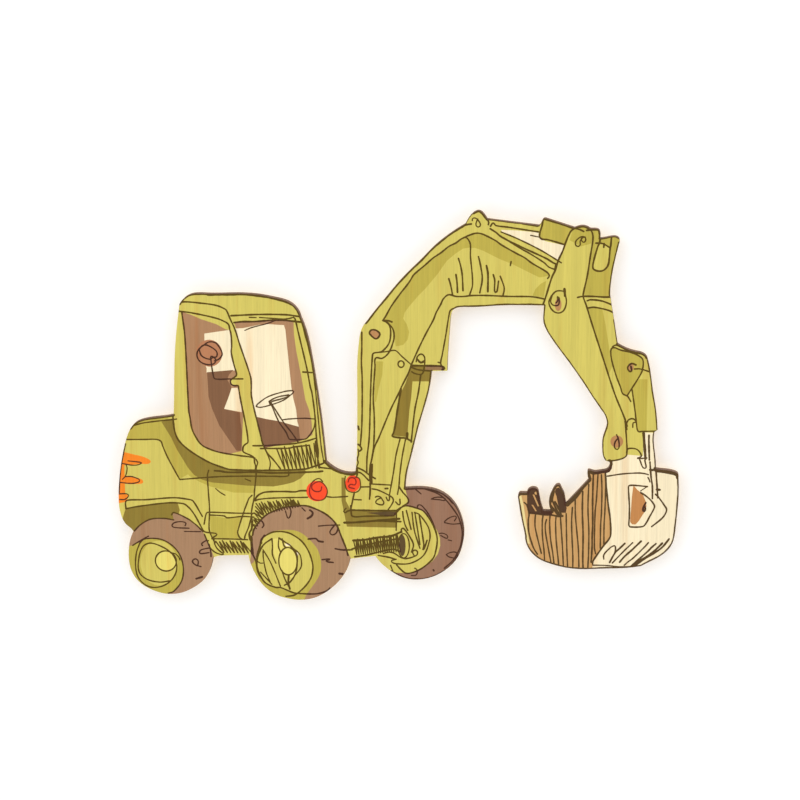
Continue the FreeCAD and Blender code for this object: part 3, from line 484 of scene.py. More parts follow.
        (1.9, (-108.3, -151.6), (-107.5, -163.4)),
        (1.3, (-107.5, -163.4), (-104.6, -169.6)),
    ),
    "front_wheel": (
        (1, (-2.3, -114.9), (4, -114.4), (16.7, -118), (23, -122.1), (31.2, -132.5), (33.6, -138),
         (35, -145.2), (34.4, -152.5), (32.5, -158.4), (28.7, -165), (23, -170.5)),
        (1.1, (-9.3, -131.1), (-6.1, -128.8), (-2.7, -127.6), (4.6, -129.2), (9.1, -131.3),
         (14.8, -139.7), (18.1, -149.5), (16.7, -160.7), (14.4, -165.1), (7.2, -171.3),
         (0.8, -174.2), (-3, -174.6), (-6.1, -172.4), (-9.3, -168.9)),
        (0.9, (4.6, -129.2), (5.3, -126.9), (7.8, -127.4), (13.5, -135.2), (17.6, -145.6)),
        (1, (2.7, -132.1), (5.9, -133.4), (11.6, -141.1), (13.2, -146.4), (12.9, -151.6),
         (9.1, -161.6), (0.8, -167.3), (-8, -168.2), (-12.8, -166.6), (-9.6, -165)),
        (1.1, (-21.7, -162.6), (-14.4, -163.8), (-10.3, -165)),
        (1, (-18.2, -161.2), (-14.4, -160.1), (-10.6, -161), (-6.8, -163.5), (-3, -164.4),
         (4, -162), (4.9, -159.6), (3.4, -158.3), (1.5, -159.3), (2.7, -162.5)),
        (1.1, (-5.8, -146.1), (-6.1, -144.1), (-4.6, -143.3), (0.8, -151.1), (2.1, -155),
         (0.8, -159.7)),
        (1, (-5.2, -131.6), (-4.8, -135.5), (-3.6, -140.8), (-1.7, -144.7)),
        (1, (-2.7, -130.9), (0.5, -144)),
        (1, (1.1, -132.1), (2.7, -144.6), (6.5, -157)),
        (1, (3, -132.1), (6.5, -154.4)),
        (1.1, (5.9, -133.4), (9.1, -154.4), (8.7, -158), (11.3, -151.3)),
        (0.8, (14.1, -122.6), (16, -121.6), (19.8, -121.2), (23.6, -122.8), (19.2, -122.9),
         (14.1, -122.6)),
        (0.8, (23, -138.1), (24.9, -136.2), (28.1, -134.5), (30.9, -134.4), (29.7, -137.4)),
        (0.8, (23, -138.7), (28.1, -139.6), (33.8, -139.1)),
        (0.8, (19.5, -146.4), (21.7, -146.1), (24.9, -147.6), (24.9, -149.6), (20.5, -147.7)),
        (0.8, (25.5, -150.7), (27.8, -151.2)),
        (0.8, (24.3, -160.9), (26.8, -159.5), (30.6, -159.1), (31.9, -161), (31.2, -163),
         (26.2, -162.5), (24.3, -160.9)),
        (1.3, (15.6, -171.8), (15.9, -172.4)),
        (0.8, (3.4, -116), (7.2, -119.2)),
        (0.9, (3, -170.9), (4.6, -172.3), (4, -175.6), (0.8, -176.1)),
        (0.9, (-13.4, -169.3), (-11.9, -173.2)),
    ),
    "chassis": (
        (1.5, (-38.8, -152.6), (-30.9, -151.9), (-21.4, -150), (-13.1, -148.9), (-6.1, -145.8)),
        (1.2, (-39.7, -158.7), (-34, -156.6), (-21.4, -153.3), (-9.3, -150.8)),
        (1.2, (-37.8, -163.9), (-30.9, -162.8), (-11.9, -158.1), (-6.8, -159.6)),
        (1.1, (-33.4, -115.3), (-27.7, -115)),
        (1, (-27.4, -113), (-13.4, -113.5)),
        (1.4, (-16.9, -116), (-15.3, -115.9)),
        (1, (-25.8, -116.4), (-22, -117.1), (-14.4, -120.6), (-11.9, -122.5), (-11.5, -124.5),
         (-13.1, -127.8), (-15, -130.5)),
        (1.1, (-7.7, -114.5), (-5.5, -117.8), (-1.2, -124.3), (-5.5, -128.3), (-10.6, -133.7)),
        (1, (-23.6, -122.1), (-22.6, -121.5), (-20.1, -122), (-18.8, -124), (-17.9, -125.6),
         (-18.8, -127.3), (-23.3, -126.1), (-22.6, -124.1), (-19.8, -122.5)),
        (1.3, (-39.4, -131.4), (-21.4, -131.4), (-9.3, -131.1)),
        (1.1, (-40.4, -128.4), (-40.1, -132.4), (-39.1, -135.7), (-30.9, -135.5), (-11.2, -134.7)),
        (1, (-43.5, -130.2), (-45.1, -132.5), (-44.2, -133.4), (-42.3, -132.1), (-40.1, -131.7)),
        (1.1, (-37.8, -119), (-40.4, -131.5)),
        (0.9, (-37.8, -124.1), (-33.1, -124.2)),
        (1.5, (-44.8, -140.3), (-37.2, -139.9), (-7.4, -136.7)),
        (1.3, (-22, -138.5), (-6.5, -138.7)),
        (1, (-9.3, -131), (-9.6, -144.8)),
        (1.2, (-27.1, -100), (-27.4, -105.7), (-27.1, -112.4), (-27.2, -119), (-27.6, -123.5)),
        (1.4, (-25.8, -99.5), (-26.1, -105.7), (-26.1, -112.3)),
        (1.1, (-35.6, -102), (-31.5, -103.9), (-28.3, -106.4), (-23.6, -109.3)),
        (1.1, (-37.2, -105), (-33.4, -105.6), (-28, -110.7)),
        (1.3, (-35.2, -73.4), (-34.6, -75.8)),
        (1.3, (-35.2, -85.9), (-34, -86.8), (-32.8, -89.2), (-34.3, -90.5)),
        (1, (-35.2, -89.3), (-34.9, -92.9), (-35.8, -96), (-35.2, -98.4), (-36.1, -101.5),
         (-35.5, -105.1)),
        (1, (-36.2, -101.4), (-35.6, -105.3), (-36.2, -108)),
        (1, (-7.1, -123.1), (-7.4, -127), (-9.9, -125.1)),
    ),
    "boom": (
        (1.1, (-32.5, -9.4), (-32.5, -20.6), (-32.8, -29.3), (-32.3, -41.5), (-32.6, -72),
         (-33.7, -87.3)),
        (1.1, (-18.4, -1.3), (-15.9, -2.5), (-13.9, -5), (-13.2, -10.1), (-14.4, -16.7),
         (-18.9, -22.2), (-21.4, -22.9), (-24.4, -23.4), (-25.3, -24.5), (-26.5, -44.7),
         (-27.7, -81.2), (-29.2, -95.2), (-29.4, -105.5)),
        (1.1, (-16.4, -1.5), (-12.7, -5.5), (-11.4, -8), (-10.9, -11.6), (-11.4, -15.2),
         (-14.4, -22.8), (-18.9, -26.9), (-23.2, -26.8), (-23.7, -32.4), (-24.9, -53.7),
         (-24.3, -65.9), (-24.3, -78.1), (-25.1, -90.3), (-27.1, -100.6)),
        (1.3, (-18.4, -1.3), (-14.9, -1.4), (-12.4, -2.2)),
        (0.9, (-19.9, -22.9), (-14.9, -22.1), (-10.9, -21.3), (-9.1, -22), (-5.9, -25.2),
         (0.1, -30.5)),
        (1.1, (-18.4, -1.3), (-16.4, 1.8), (-12.9, 8.2), (-6.4, 17.5), (-2.4, 22.6), (0.1, 26.3),
         (2.1, 29.6), (9.9, 36.5), (15, 41.1), (20.1, 44.6), (25.2, 48.8), (30, 51.3), (33.7, 54.1),
         (41.2, 57.4), (44.4, 57.9), (48.1, 57), (56.1, 53), (59.7, 50.4), (69.7, 44.8), (75, 42.1),
         (79.9, 38.5), (89.6, 32.8), (91.5, 30.3), (90.4, 28.5)),
        (1.1, (88.5, 14.7), (82.8, 15.8), (78, 16.2), (64.3, 16.1), (50.9, 16.5), (40.3, 16.3),
         (34.9, 15.6), (30, 15.6), (25.1, 16.6), (21.6, 13.6), (20.1, 10.3), (17.1, 4.7),
         (15.1, -0.5), (10.1, -10), (5.1, -20.5), (0.9, -30.2), (-1.5, -36.8), (-6, -46),
         (-7.5, -49.7), (-12.9, -60.8), (-21.2, -81), (-24.2, -87.8), (-26.5, -98.3)),
        (1.1, (25.3, 27.4), (26.4, 23.6), (27.9, 16.3)),
        (1.2, (30, 30.2), (30.7, 25.3), (31.1, 18.3)),
        (1.1, (31.6, 41), (33, 36.2), (34.1, 30.3), (34.7, 19.4)),
        (1, (33.8, 54.1), (36.4, 54.9), (38, 53.6), (39.4, 50.4), (39.5, 42.8), (41, 23.8),
         (39, 16.4)),
        (1.1, (44.8, 42.3), (46, 37.4), (47.4, 27.7), (45.8, 18.2)),
        (1.3, (50.1, 36.4), (51.1, 31), (51.1, 19.1)),
        (1.1, (54.6, 30.5), (55.6, 26.7), (55.5, 20.8), (56, 18.6), (57.1, 19.2), (58.1, 26.2)),
        (1, (59.2, 29.5), (61.6, 23.1), (61.9, 20.4), (61.1, 16.6)),
        (1, (66.3, 39.4), (65.8, 36.7)),
        (0.9, (40.6, 66.1), (40.8, 67.5), (42.1, 67.9), (43.7, 67.2), (46, 63.5), (44.6, 61.9),
         (43.1, 62.9), (43.2, 65.1), (44.2, 67.2)),
        (1.2, (34.1, 62.2), (37, 63.4), (40, 63.9)),
        (1.1, (50.6, 67.4), (51.4, 64.7), (51.1, 63.6)),
        (1, (50.1, 67.3), (58.6, 66.8), (83.3, 62.9)),
        (1.1, (52.5, 62.5), (54.3, 64.7), (56, 63.1), (64, 62.1), (84.1, 59.2)),
        (1.2, (52.4, 60.9), (56.2, 58.5), (59.5, 55.8), (70.7, 50.1), (89.3, 41.7), (94.3, 38.7),
         (96.2, 38.1)),
        (1, (59.6, 55.5), (65.8, 52.2), (72, 48.3), (78.2, 45), (88.2, 38.7), (90.7, 36.3),
         (93.2, 35.1), (95.7, 34.5)),
        (1, (59.5, 58.9), (70, 54.7), (85.5, 47.2), (99.2, 39)),
        (1, (30.1, 8.2), (26.6, 6.3), (25.6, 3.3), (23.6, -9.6), (21.1, -24), (20.1, -29.6),
         (21.6, -32.6)),
        (1, (18.4, -28.9), (20.1, -29.4)),
        (1.4, (0.8, -31.5), (17.5, -31.4), (21.1, -31.7), (22.6, -32.9), (21.1, -33.9)),
        (1.1, (0.8, -32.7), (5, -34.2), (13.9, -34.9)),
        (1.2, (-27.4, -9.6), (-26.4, -8), (-23.9, -7.7), (-21.4, -9), (-20.4, -10.7),
         (-21.9, -13.3), (-23.4, -13.7), (-25.4, -12.4), (-27.4, -10.3)),
        (1, (3.8, -28.8), (4.4, -25.7), (6.2, -23.8), (8, -23.8), (9.5, -26.2), (8.9, -34.1),
         (7.4, -37.2), (2.6, -36.7), (0.8, -35.6)),
        (1.4, (4.4, -26.9), (6.8, -29.3), (9.2, -28.3)),
        (1.3, (-6.3, -47.2), (-9.3, -65.6), (-10.2, -72.3), (-11.4, -77.8), (-12.3, -79.7),
         (-6.9, -80.8), (-3.3, -81), (0.8, -83.1)),
        (1.7, (-2.1, -77.6), (-2.4, -81.3)),
        (1.1, (6.8, -37.9), (5.3, -49.4), (2.9, -61.7), (0.5, -83.7)),
        (1, (-6.9, -81.4), (-9.6, -92.4), (-11.4, -104.7), (-14.1, -120.3), (-14.7, -124.4),
         (-16.3, -122)),
        (1, (-3.3, -81.9), (-5.4, -92.9), (-7.1, -106), (-7.7, -113.8), (-8.7, -119.8)),
    ),
    "stick": (
        (1.2, (86.9, 68), (86.4, 63.9), (84.7, 56.6), (86.3, 54.5), (89.9, 54.2), (101.3, 51)),
        (0.8, (78.9, 56.9), (84.4, 55.8)),
        (1.2, (107.1, 61.6), (105.8, 60.6), (104.6, 59), (102.3, 53.5), (100, 46.7), (97.2, 40.5),
         (95.5, 34.4), (93.2, 29.4), (89, 15.2), (87.3, 10.3)),
        (1.6, (96, 38), (95.1, 34.3)),
        (1.2, (108.7, 61.7), (111.1, 61.1), (113.6, 59.9)),
        (1.1, (108.7, 62.3), (114.1, 63), (117.2, 61.2), (118.8, 60), (119.7, 55.7), (118.2, 43.9),
         (116.3, 30.3), (113.8, 18), (114, 16.1), (116.1, 10.5), (119.7, -0.9), (127.9, -25.4),
         (135.9, -49), (143.1, -66.5), (144, -72.2)),
        (1.2, (115.4, 60.6), (122.9, 61.3), (124.2, 60.4), (124.5, 56.4), (124, 52.7),
         (122.8, 49.6), (120.5, 40.9), (120, 35.7), (121.9, 34.2), (124.3, 33.8), (126.7, 34.3),
         (129.1, 36.5), (130.2, 39.3), (131, 49.2), (131.3, 50.4), (131.8, 56.6)),
        (1.1, (121.6, 52.3), (125.8, 52.1), (131, 49.4)),
        (1.1, (127, 52.1), (126.8, 49.6)),
        (0.9, (114.6, 56.2), (112.2, 56.5), (109.8, 54.9), (108.3, 52.8), (108.6, 50.6),
         (110.4, 50), (111.5, 51.3), (111.3, 53.1), (112.2, 55), (114, 56.2), (115, 54.7),
         (114.1, 52.8), (112.6, 53.4), (112, 56.2)),
        (1.2, (110.2, 16.1), (113.2, 16.8), (121.1, 16.9), (127.2, 16.6), (132, 16.7)),
        (1.2, (116.6, 14), (118.7, 14.7), (126, 14), (132.7, 11.6)),
        (1.1, (116.9, 9.1), (121.2, 9.7), (130.3, 7.9), (133.7, 6.4)),
        (1, (101.5, 21.6), (102.1, 17.9), (102.9, 13.6), (102.2, 9.3), (100.4, 6.5), (97.7, 5.5),
         (94.4, 6.7), (91.9, 10.3), (91.6, 14), (95.4, 19.6), (98.4, 20.4), (101.5, 20)),
        (1, (93.4, 17.1), (92.5, 13.4), (93.7, 11), (96.2, 10.4), (97.7, 11), (98.2, 13.5),
         (97.9, 15.9), (96.8, 16.5), (97.3, 14.1), (96.1, 12.2)),
        (1.7, (101.5, 21.6), (101.9, 17)),
        (1, (142.7, -66.5), (144, -79.7), (144.3, -89.3), (143, -91.1), (140.1, -92.5),
         (135.8, -93.5), (132.4, -93.6)),
        (1.1, (133.7, -16.5), (135.4, -15.4), (138, -15.9)),
        (1, (135.4, -17.1), (138.9, -18.6), (145.8, -20.2), (151, -22.3), (153.7, -24.9),
         (153.7, -31), (152, -35.5), (144.1, -48.8)),
        (1, (135.4, -17.1), (133.3, -17.4), (132.5, -19.6), (133.4, -26.2), (136.6, -36.7),
         (139.3, -43.6), (140.9, -48), (144.1, -49.7), (146.3, -53.2)),
        (1.2, (149.3, -28.5), (146.3, -27.6), (143.8, -30.3), (145.1, -32.9), (146.4, -32.5),
         (145.9, -29.4)),
        (1, (148.2, -31.2), (152, -31.1), (158.9, -33.1)),
        (1, (147, -45.2), (149.3, -60.2), (150.3, -68), (151.5, -73.3), (154.2, -73.3),
         (163.6, -72.9)),
        (1, (144.3, -69.9), (143.9, -68.1), (145.2, -65.5), (148.2, -64.9), (149.9, -67.1),
         (148.2, -67.5), (147.9, -70.6)),
        (1, (137.3, -75.9), (138.6, -79), (139.1, -84.2), (137.9, -85.9), (136.1, -84.6),
         (136.5, -80.7), (138.6, -78.1)),
        (1, (144.2, -88.5), (144.4, -86.3), (145.5, -85.1), (150.2, -85.3), (152.8, -87.4),
         (153.8, -90.5), (151.2, -91.7), (157.6, -91.3)),
        (1, (156.3, -92.7), (156.4, -98.4), (152.9, -92.7)),
        (1.8, (155.1, -74.2), (156.7, -91.8)),
        (1.3, (158.7, -75.9), (158.7, -80.3), (159.3, -92.6)),
    ),
    "bucket": (
        (1.2, (130.3, -102.5), (131.3, -113.6), (133, -127.2), (133.9, -132.6), (134.5, -144.5),
         (133.3, -147.8), (130.3, -151.7), (123.1, -162.8), (122.7, -165)),
        (1.7, (73.3, -117.4), (79, -117.5)),
        (1.4, (79.7, -130.6), (88.6, -131.5), (95.5, -131.9), (99.1, -132.6), (102.3, -132.3)),
        (1.2, (93.3, -124.8), (93.3, -121.6), (95.3, -114.5), (97.2, -111.2), (99, -110.1),
         (100.5, -111.1), (103.2, -117.6), (104.3, -124.6)),
        (1.3, (93.9, -124.5), (99.1, -131.7)),
        (1.3, (95.4, -122.1), (98.1, -128), (100.2, -131.7)),
        (1.3, (97, -122.6), (99.6, -127.4), (101.2, -131.1)),
        (1.4, (94.6, -118.2), (93.9, -124.2)),
        (1.4, (96.2, -115), (94.9, -122.5)),
        (2, (105.3, -124.9), (110.5, -119.6), (116.8, -110.8), (119.9, -107.2)),
        (2, (164, -100), (169.2, -100.4), (174.4, -101.4), (177.8, -102.6)),
        (1.1, (76.5, -123.6), (78.3, -125.4), (79.8, -131.7), (79.3, -135.5), (79.7, -143.6),
         (82, -152.2), (83.6, -156), (85.7, -159.2)),
        (1, (84.1, -131.6), (83.8, -136), (84.1, -141.3), (88.3, -158.6)),
        (1, (89.2, -132), (88.7, -135.8), (88.9, -146.2), (90.1, -157), (90.5, -163)),
        (1, (91.5, -135), (90.8, -138), (90.9, -143.4), (92.8, -154.2), (94.8, -164.5)),
        (1, (93.9, -131.9), (93.6, -136.8), (94.3, -147.7), (96, -158.5), (96.8, -165)),
        (1, (97.8, -133.5), (97.6, -137.8), (98.2, -149.8), (99.6, -162.2), (100, -166)),
        (1, (100.7, -131.7), (102.4, -154), (103.2, -167)),
        (1, (104.6, -130.6), (105.3, -154), (106, -167)),
        (1, (108.7, -126.2), (108.3, -137.6), (109.4, -159.3), (109.5, -168)),
        (1, (110.5, -120.7), (110.8, -132.1), (113, -153.8), (113.6, -167.3)),
        (1.2, (115.4, -115.1), (115.4, -129.3), (116.1, -145.5), (116.1, -161.8), (116.4, -167.8)),
        (1, (119.4, -110.2), (119.1, -126.4), (119.9, -142.7), (119.9, -159), (119.6, -167.7)),
        (1.2, (122.3, -103.6), (122.1, -120.9), (122.4, -137.3), (122.2, -145.4), (122.2, -153.6),
         (121.7, -163.9)),
        (1, (125.4, -103), (124.6, -120.9), (123.9, -129.1), (123.8, -153.5), (124.6, -157.9)),
        (1, (127.7, -103.4), (128.2, -113.7), (128.1, -130), (127.7, -138.2), (127.7, -154)),
        (1, (130.3, -103.3), (130.6, -110.9), (130.4, -127.2), (130, -138.1), (130.1, -152.2)),
        (1, (131.6, -104.3), (142.1, -102.5), (152.5, -101.7), (156.7, -102.1), (158.8, -102.7)),
        (1, (158.6, -104.6), (159.4, -106), (159.9, -107.6)),
        (1.2, (159.7, -94), (160.7, -104.9), (161.6, -110.3), (161.8, -119)),
        (1.2, (163.3, -93.9), (165.4, -118.4)),
        (1.5, (164.5, -112.7), (166.6, -112.9)),
        (1.5, (159.8, -99.4), (161.9, -99.5)),
        (1.1, (163.8, -116), (165.7, -117.8), (170.3, -124.2), (171.4, -126.4), (170.4, -129.7),
         (167.9, -133), (161.7, -138.3)),
        (1.1, (158.4, -110.9), (149.5, -110.2), (146.1, -110.6), (145.8, -112.2), (146.6, -124.2),
         (146.7, -132.3), (146.5, -137.8), (147.3, -138.8), (155.7, -138.4), (157.7, -136.4),
         (160.2, -131.5), (163.3, -124.9), (162.7, -122.7), (160.1, -119.5), (156.9, -116.9),
         (154, -115.1)),
        (0.7, (158.2, -110.9), (153.8, -114)),
        (1.3, (157.5, -122), (156.2, -124.5), (155.7, -126.7), (156.5, -128), (157.3, -126.1),
         (156.8, -124.5)),
        (1, (130.2, -161.5), (130.1, -158.8), (133, -154.9), (137.1, -152.1), (137.9, -154.3),
         (137.2, -157.5), (135.1, -161.4), (134.1, -163.8)),
        (1.2, (134.1, -163.8), (137.7, -156.9), (140.8, -153.7), (144.1, -150.3)),
        (1, (135.9, -164.1), (143.9, -155.2), (149.3, -149.7)),
        (1.3, (140.8, -163.4), (143.9, -159.5), (149, -154.6), (154.9, -148.5)),
        (1, (143.9, -165.5), (146, -163.4), (149.6, -160.5), (157.3, -152.4), (159.8, -149.4)),
        (1.2, (148.1, -166.3), (159.4, -155.5), (161.9, -152.7), (164.8, -150)),
        (1.4, (149.1, -165.9), (154.3, -162), (159.4, -158.7), (163.6, -155.3), (169, -149.6)),
        (1.3, (151.2, -165.4), (156.4, -161.4), (166.2, -154.8), (169.8, -151.5), (173.4, -146.6)),
        (0.9, (122.9, -165.9), (131.1, -165.9), (139, -166.5), (147.4, -166.5)),
    ),
}

# Rows of slanted strokes joined into a zigzag: region, first top, last top, slant of the
# first and of the last, count, width factor.
HATCHES = (
    ("cockpit", (-90.4, -89.6), (-65, -86.4), (5.6, -14.2), (4, -16.1), 10, 0.9),
    ("hood", (-104.6, -128.2), (-79.5, -124.6), (5.2, -7.4), (3.4, -5.4), 14, 0.85),
    ("hood", (-105, -130.4), (-107, -142.6), (5.2, -6), (2.4, -3.2), 6, 0.85),
    ("hood", (-83, -126), (-76.5, -126.2), (4, -3.6), (2, -3.4), 5, 0.85),
    ("rear_body", (-132.5, -155.3), (-113.4, -155.3), (5.5, -7.7), (5.5, -7.7), 9, 0.95),
    ("chassis", (-38.5, -152.5), (-8.5, -147.6), (2.2, -9.8), (1.8, -12), 21, 0.8),
)

# Ovals drawn with the pen: region, centre, half width, half height, width factor.
LOOPS = (
    ("rear_wheel", (-167, -170), 7.2, 7.1, 1.0),
    ("middle_wheel", (-83.2, -168.1), 6.3, 9.6, 1.0),
    ("boom", (-6.3, -30.6), 2.0, 2.2, 1.0),
    ("chassis", (-4.5, -155.5), 3.8, 8.5, 0.9),
)

# Ink along the cut edge, clockwise as the viewer sees it: from, to, width factor.
EDGE_INK = (
    ((-189.5, -78.1), (-160.2, -68.4), 0.9),
    ((-154.6, 7.6), (-136, 14.8), 0.9),
    ((-136, 14.8), (-80, 9.3), 1.25),
    ((-80, 9.3), (-62.6, -49), 0.9),
    ((-62.6, -49), (-56.8, -98.6), 0.55),
    ((-56.8, -98.6), (-36.8, -103), 1.5),
    ((-29.8, -3), (36, 63.7), 1.05),
    ((36, 63.7), (41, 71), 0.4),
    ((41, 71), (50.4, 67.2), 1.1),
    ((50.4, 67.2), (84.3, 63.4), 0.6),
    ((87, 67.6), (107.7, 62.2), 1.1),
    ((109.7, 63), (117.6, 61.9), 0.9),
    ((117.6, 61.9), (124.3, 55.4), 1.1),
    ((124.3, 55.4), (136.4, 55.9), 0.7),
    ((137, 52.9), (131.5, 17.5), 0.9),
    ((134.2, 1.8), (137, -14.8), 0.5),
    ((137, -14.8), (156.5, -23.5), 1.2),
    ((156.5, -23.5), (164.3, -72), 0.8),
    ((162.2, -73.6), (163.8, -98.8), 0.8),
    ((163.8, -98.8), (178.8, -104), 1.9),
    ((178.8, -104), (144, -167.4), 1.0),
    ((144, -167.4), (72.4, -118.4), 1.0),
    ((72.5, -118), (79.3, -114.6), 1.6),
    ((79.3, -114.6), (89.2, -129.2), 1.2),
    ((89.2, -129.2), (94.6, -129.2), 1.8),
    ((94.6, -129.2), (104.3, -124), 1.2),
    ((104.3, -124), (119.3, -107), 1.5),
    ((119.3, -107), (132.9, -94.5), 1.9),
    ((130.2, -93.6), (93.1, -11.1), 0.8),
    ((93.1, -11.1), (88.2, 10.4), 0.9),
    ((88.2, 10.4), (30, 8), 1.05),
    ((14, -34.9), (-3.6, -115.6), 0.9),
    ((-3.6, -115.6), (29.1, -124.8), 1.1),
    ((29.1, -124.8), (5.4, -178.8), 0.6),
    ((5.4, -178.8), (-13, -173.4), 0.8),
)


def smooth(points, step, closed=False):
    """Catmull-Rom curve through (X, Z) points in mm, sampled about every `step` mm."""
    pts = [Vector(p) for p in points]
    count = len(pts) if closed else len(pts) - 1
    out = []
    for i in range(count):
        a, b = pts[i], pts[(i + 1) % len(pts)]
        before_a = pts[i - 1] if closed or i > 0 else a * 2 - b
        after_b = pts[(i + 2) % len(pts)] if closed or i + 2 < len(pts) else b * 2 - a
        pieces = max(1, round((b - a).length / step))
        reach = (b - a).length
        pull_a = (b - before_a) * reach / max((b - before_a).length, 1e-6)
        pull_b = (after_b - a) * reach / max((after_b - a).length, 1e-6)
        for k in range(pieces):
            t = k / pieces
            h1 = 2 * t ** 3 - 3 * t ** 2 + 1
            h2 = t ** 3 - 2 * t ** 2 + t
            h3 = 3 * t ** 2 - 2 * t ** 3
            h4 = t ** 3 - t ** 2
            out.append(a * h1 + pull_a * h2 + b * h3 + pull_b * h4)
    if not closed:
        out.append(pts[-1])
    return out


def ellipse(centre, half_x, half_z, count=40):
    """An oval ring of (X, Z) points, turning left."""
    turn = 2 * math.pi / count
    return [Vector((centre[0] + half_x * math.cos(turn * i),
                    centre[1] + half_z * math.sin(turn * i))) for i in range(count)]


def doubled_area(ring):
    """Twice the area of a ring; above zero if it turns left."""
    return sum(a[0] * b[1] - b[0] * a[1] for a, b in zip(ring, ring[1:] + ring[:1]))


def board_outline():
    """The printed face's boundary in mm, clockwise as the viewer sees it."""
    mesh = nodes["face_veneer"].data
    uses = {}
    for face in mesh.polygons:
        if face.normal.y > -0.9:
            continue
        ring = [mesh.vertices[i].co for i in face.vertices]
        ring = [(round(c.x / MM, 3), round(c.z / MM, 3)) for c in ring]
        for a, b in zip(ring, ring[1:] + ring[:1]):
            uses.setdefault(frozenset((a, b)), []).append((a, b))
    follow = {}
    for pairs in uses.values():
        if len(pairs) == 1:
            follow[pairs[0][0]] = pairs[0][1]
    start = next(iter(follow))
    loop = [start]
    while follow[loop[-1]] != start:
        loop.append(follow[loop[-1]])
    if doubled_area(loop) > 0:
        loop.reverse()
    return [Vector(p) for p in loop]


def inside(point, ring):
    """True if the (X, Z) point lies within the closed ring."""
    x, z = point[0], point[1]
    hit = False
    for a, b in zip(ring, ring[1:] + ring[:1]):
        if (a[1] > z) != (b[1] > z):
            if x < (b[0] - a[0]) * (z - a[1]) / (b[1] - a[1]) + a[0]:
                hit = not hit
    return hit


OUTLINE = board_outline()


def field_rings():
    """(colour, ring) of every colour area, in painting order."""
    rings = []
    for _, colour, curved, points in FIELDS:
        ring = smooth(points, FIELD_STEP, closed=True) if curved else [Vector(p) for p in points]
        rings.append((colour, ring))
    for _, colour, centre, half_x, half_z in SPOTS:
        rings.append((colour, ellipse(centre, half_x, half_z)))
    return rings


RINGS = field_rings()


def colour_at(point):
    """The colour on top at a point. The board is green where no area covers it."""
    found = "green"
    for colour, ring in RINGS:
        if inside(point, ring):
            found = colour
    return found


def ink_under(colour):
    """The ink's name where it crosses the given colour."""
    if colour == "red":
        return "ink_red"
    if colour in BROWN_UNDER:
        return "ink_brown"
    return "ink_plain" if colour in PLAIN_UNDER else "ink_olive"


def ribbon(points, width, seed):
    """A pen stroke along `points` as left-turning triangles, and a round at each end.

    Its width wavers by up to 15 percent, as a hand's pressure does. The seed shifts that.
    """
    left, right = [], []
    for i, point in enumerate(points):
        ahead = points[min(i + 1, len(points) - 1)] - points[max(i - 1, 0)]
        side = Vector((-ahead.y, ahead.x)).normalized()
        press = 1 + 0.10 * math.sin(0.5 * i + seed) + 0.05 * math.sin(1.7 * i + 2 * seed)
        left.append(point + side * width * press / 2)
        right.append(point - side * width * press / 2)
    rings = []
    for i in range(len(points) - 1):
        for ring in ([right[i], right[i + 1], left[i + 1]], [right[i], left[i + 1], left[i]]):
            area = doubled_area(ring)
            if abs(area) > 1e-4:
                rings.append(ring if area > 0 else ring[::-1])
    for end in (points[0], points[-1]):
        rings.append(ellipse(end, width * ROUND_END, width * ROUND_END, 10))
    return rings


def hatch_rings(region):
    """Zigzags: each stroke runs from a top point by its slant, then back up to the next."""
    rings = []
    for where, first, last, slant_a, slant_b, count, width in HATCHES:
        if where != region:
            continue
        line = []
        for i in range(count):
            t = i / (count - 1)
            uneven = Vector((0.3 * math.sin(2.1 * i), 0.6 * math.sin(3.7 * i)))
            top = Vector(first).lerp(Vector(last), t) + uneven
            line.append(top)
            line.append(top + Vector(slant_a).lerp(Vector(slant_b), t) - uneven)
        for i, (start, stop) in enumerate(zip(line, line[1:])):
            rings.extend(ribbon([start, start.lerp(stop, 0.5), stop], width * PEN, i))
    return rings


def region_rings(region):
    """Every ring of ink in a region: its hatching, its strokes and its ovals."""
    rings = hatch_rings(region)
    for i, stroke in enumerate(STROKES[region]):
        rings.extend(ribbon(smooth(stroke[1:], STROKE_STEP), stroke[0] * PEN, i))
    for where, centre, half_x, half_z, width in LOOPS:
        if where == region:
            loop = ellipse(centre, half_x, half_z, 36)
            rings.extend(ribbon(loop + loop[:2], width * PEN, 1))
    return rings


def walk_outline():
    """The outline with extra points, so that no two neighbours are more than a step apart."""
    out = []
    for a, b in zip(OUTLINE, OUTLINE[1:] + OUTLINE[:1]):
        pieces = max(1, math.ceil((b - a).length / EDGE_STEP))
        out.extend(a.lerp(b, k / pieces) for k in range(pieces))
    return out


def edge_rings():
    """Ink along parts of the outline. Its outer half is cut off by the outline itself."""
    path = walk_outline()
    rings = []
    for i, (start, stop, width) in enumerate(EDGE_INK):
        first = min(range(len(path)), key=lambda k: (path[k] - Vector(start)).length)
        last = min(range(len(path)), key=lambda k: (path[k] - Vector(stop)).length)
        count = (last - first) % len(path)
        line = [path[(first + k) % len(path)] for k in range(count + 1)]
        rings.extend(ribbon(line, 2 * width * PEN, i))
    return rings


def cut_to_board(rings):
    """Triangles of the board's face split by the rings: points, and (triangle, ring numbers)."""
    points, faces = [], []
    for ring in [OUTLINE[::-1]] + rings:
        faces.append(list(range(len(points), len(points) + len(ring))))
        points.extend(ring)
    out = delaunay_2d_cdt(points, [], faces, 0, 1e-5)
    kept = [(tri, owners) for tri, owners in zip(out[2], out[5]) if 0 in owners]
    return out[0], kept


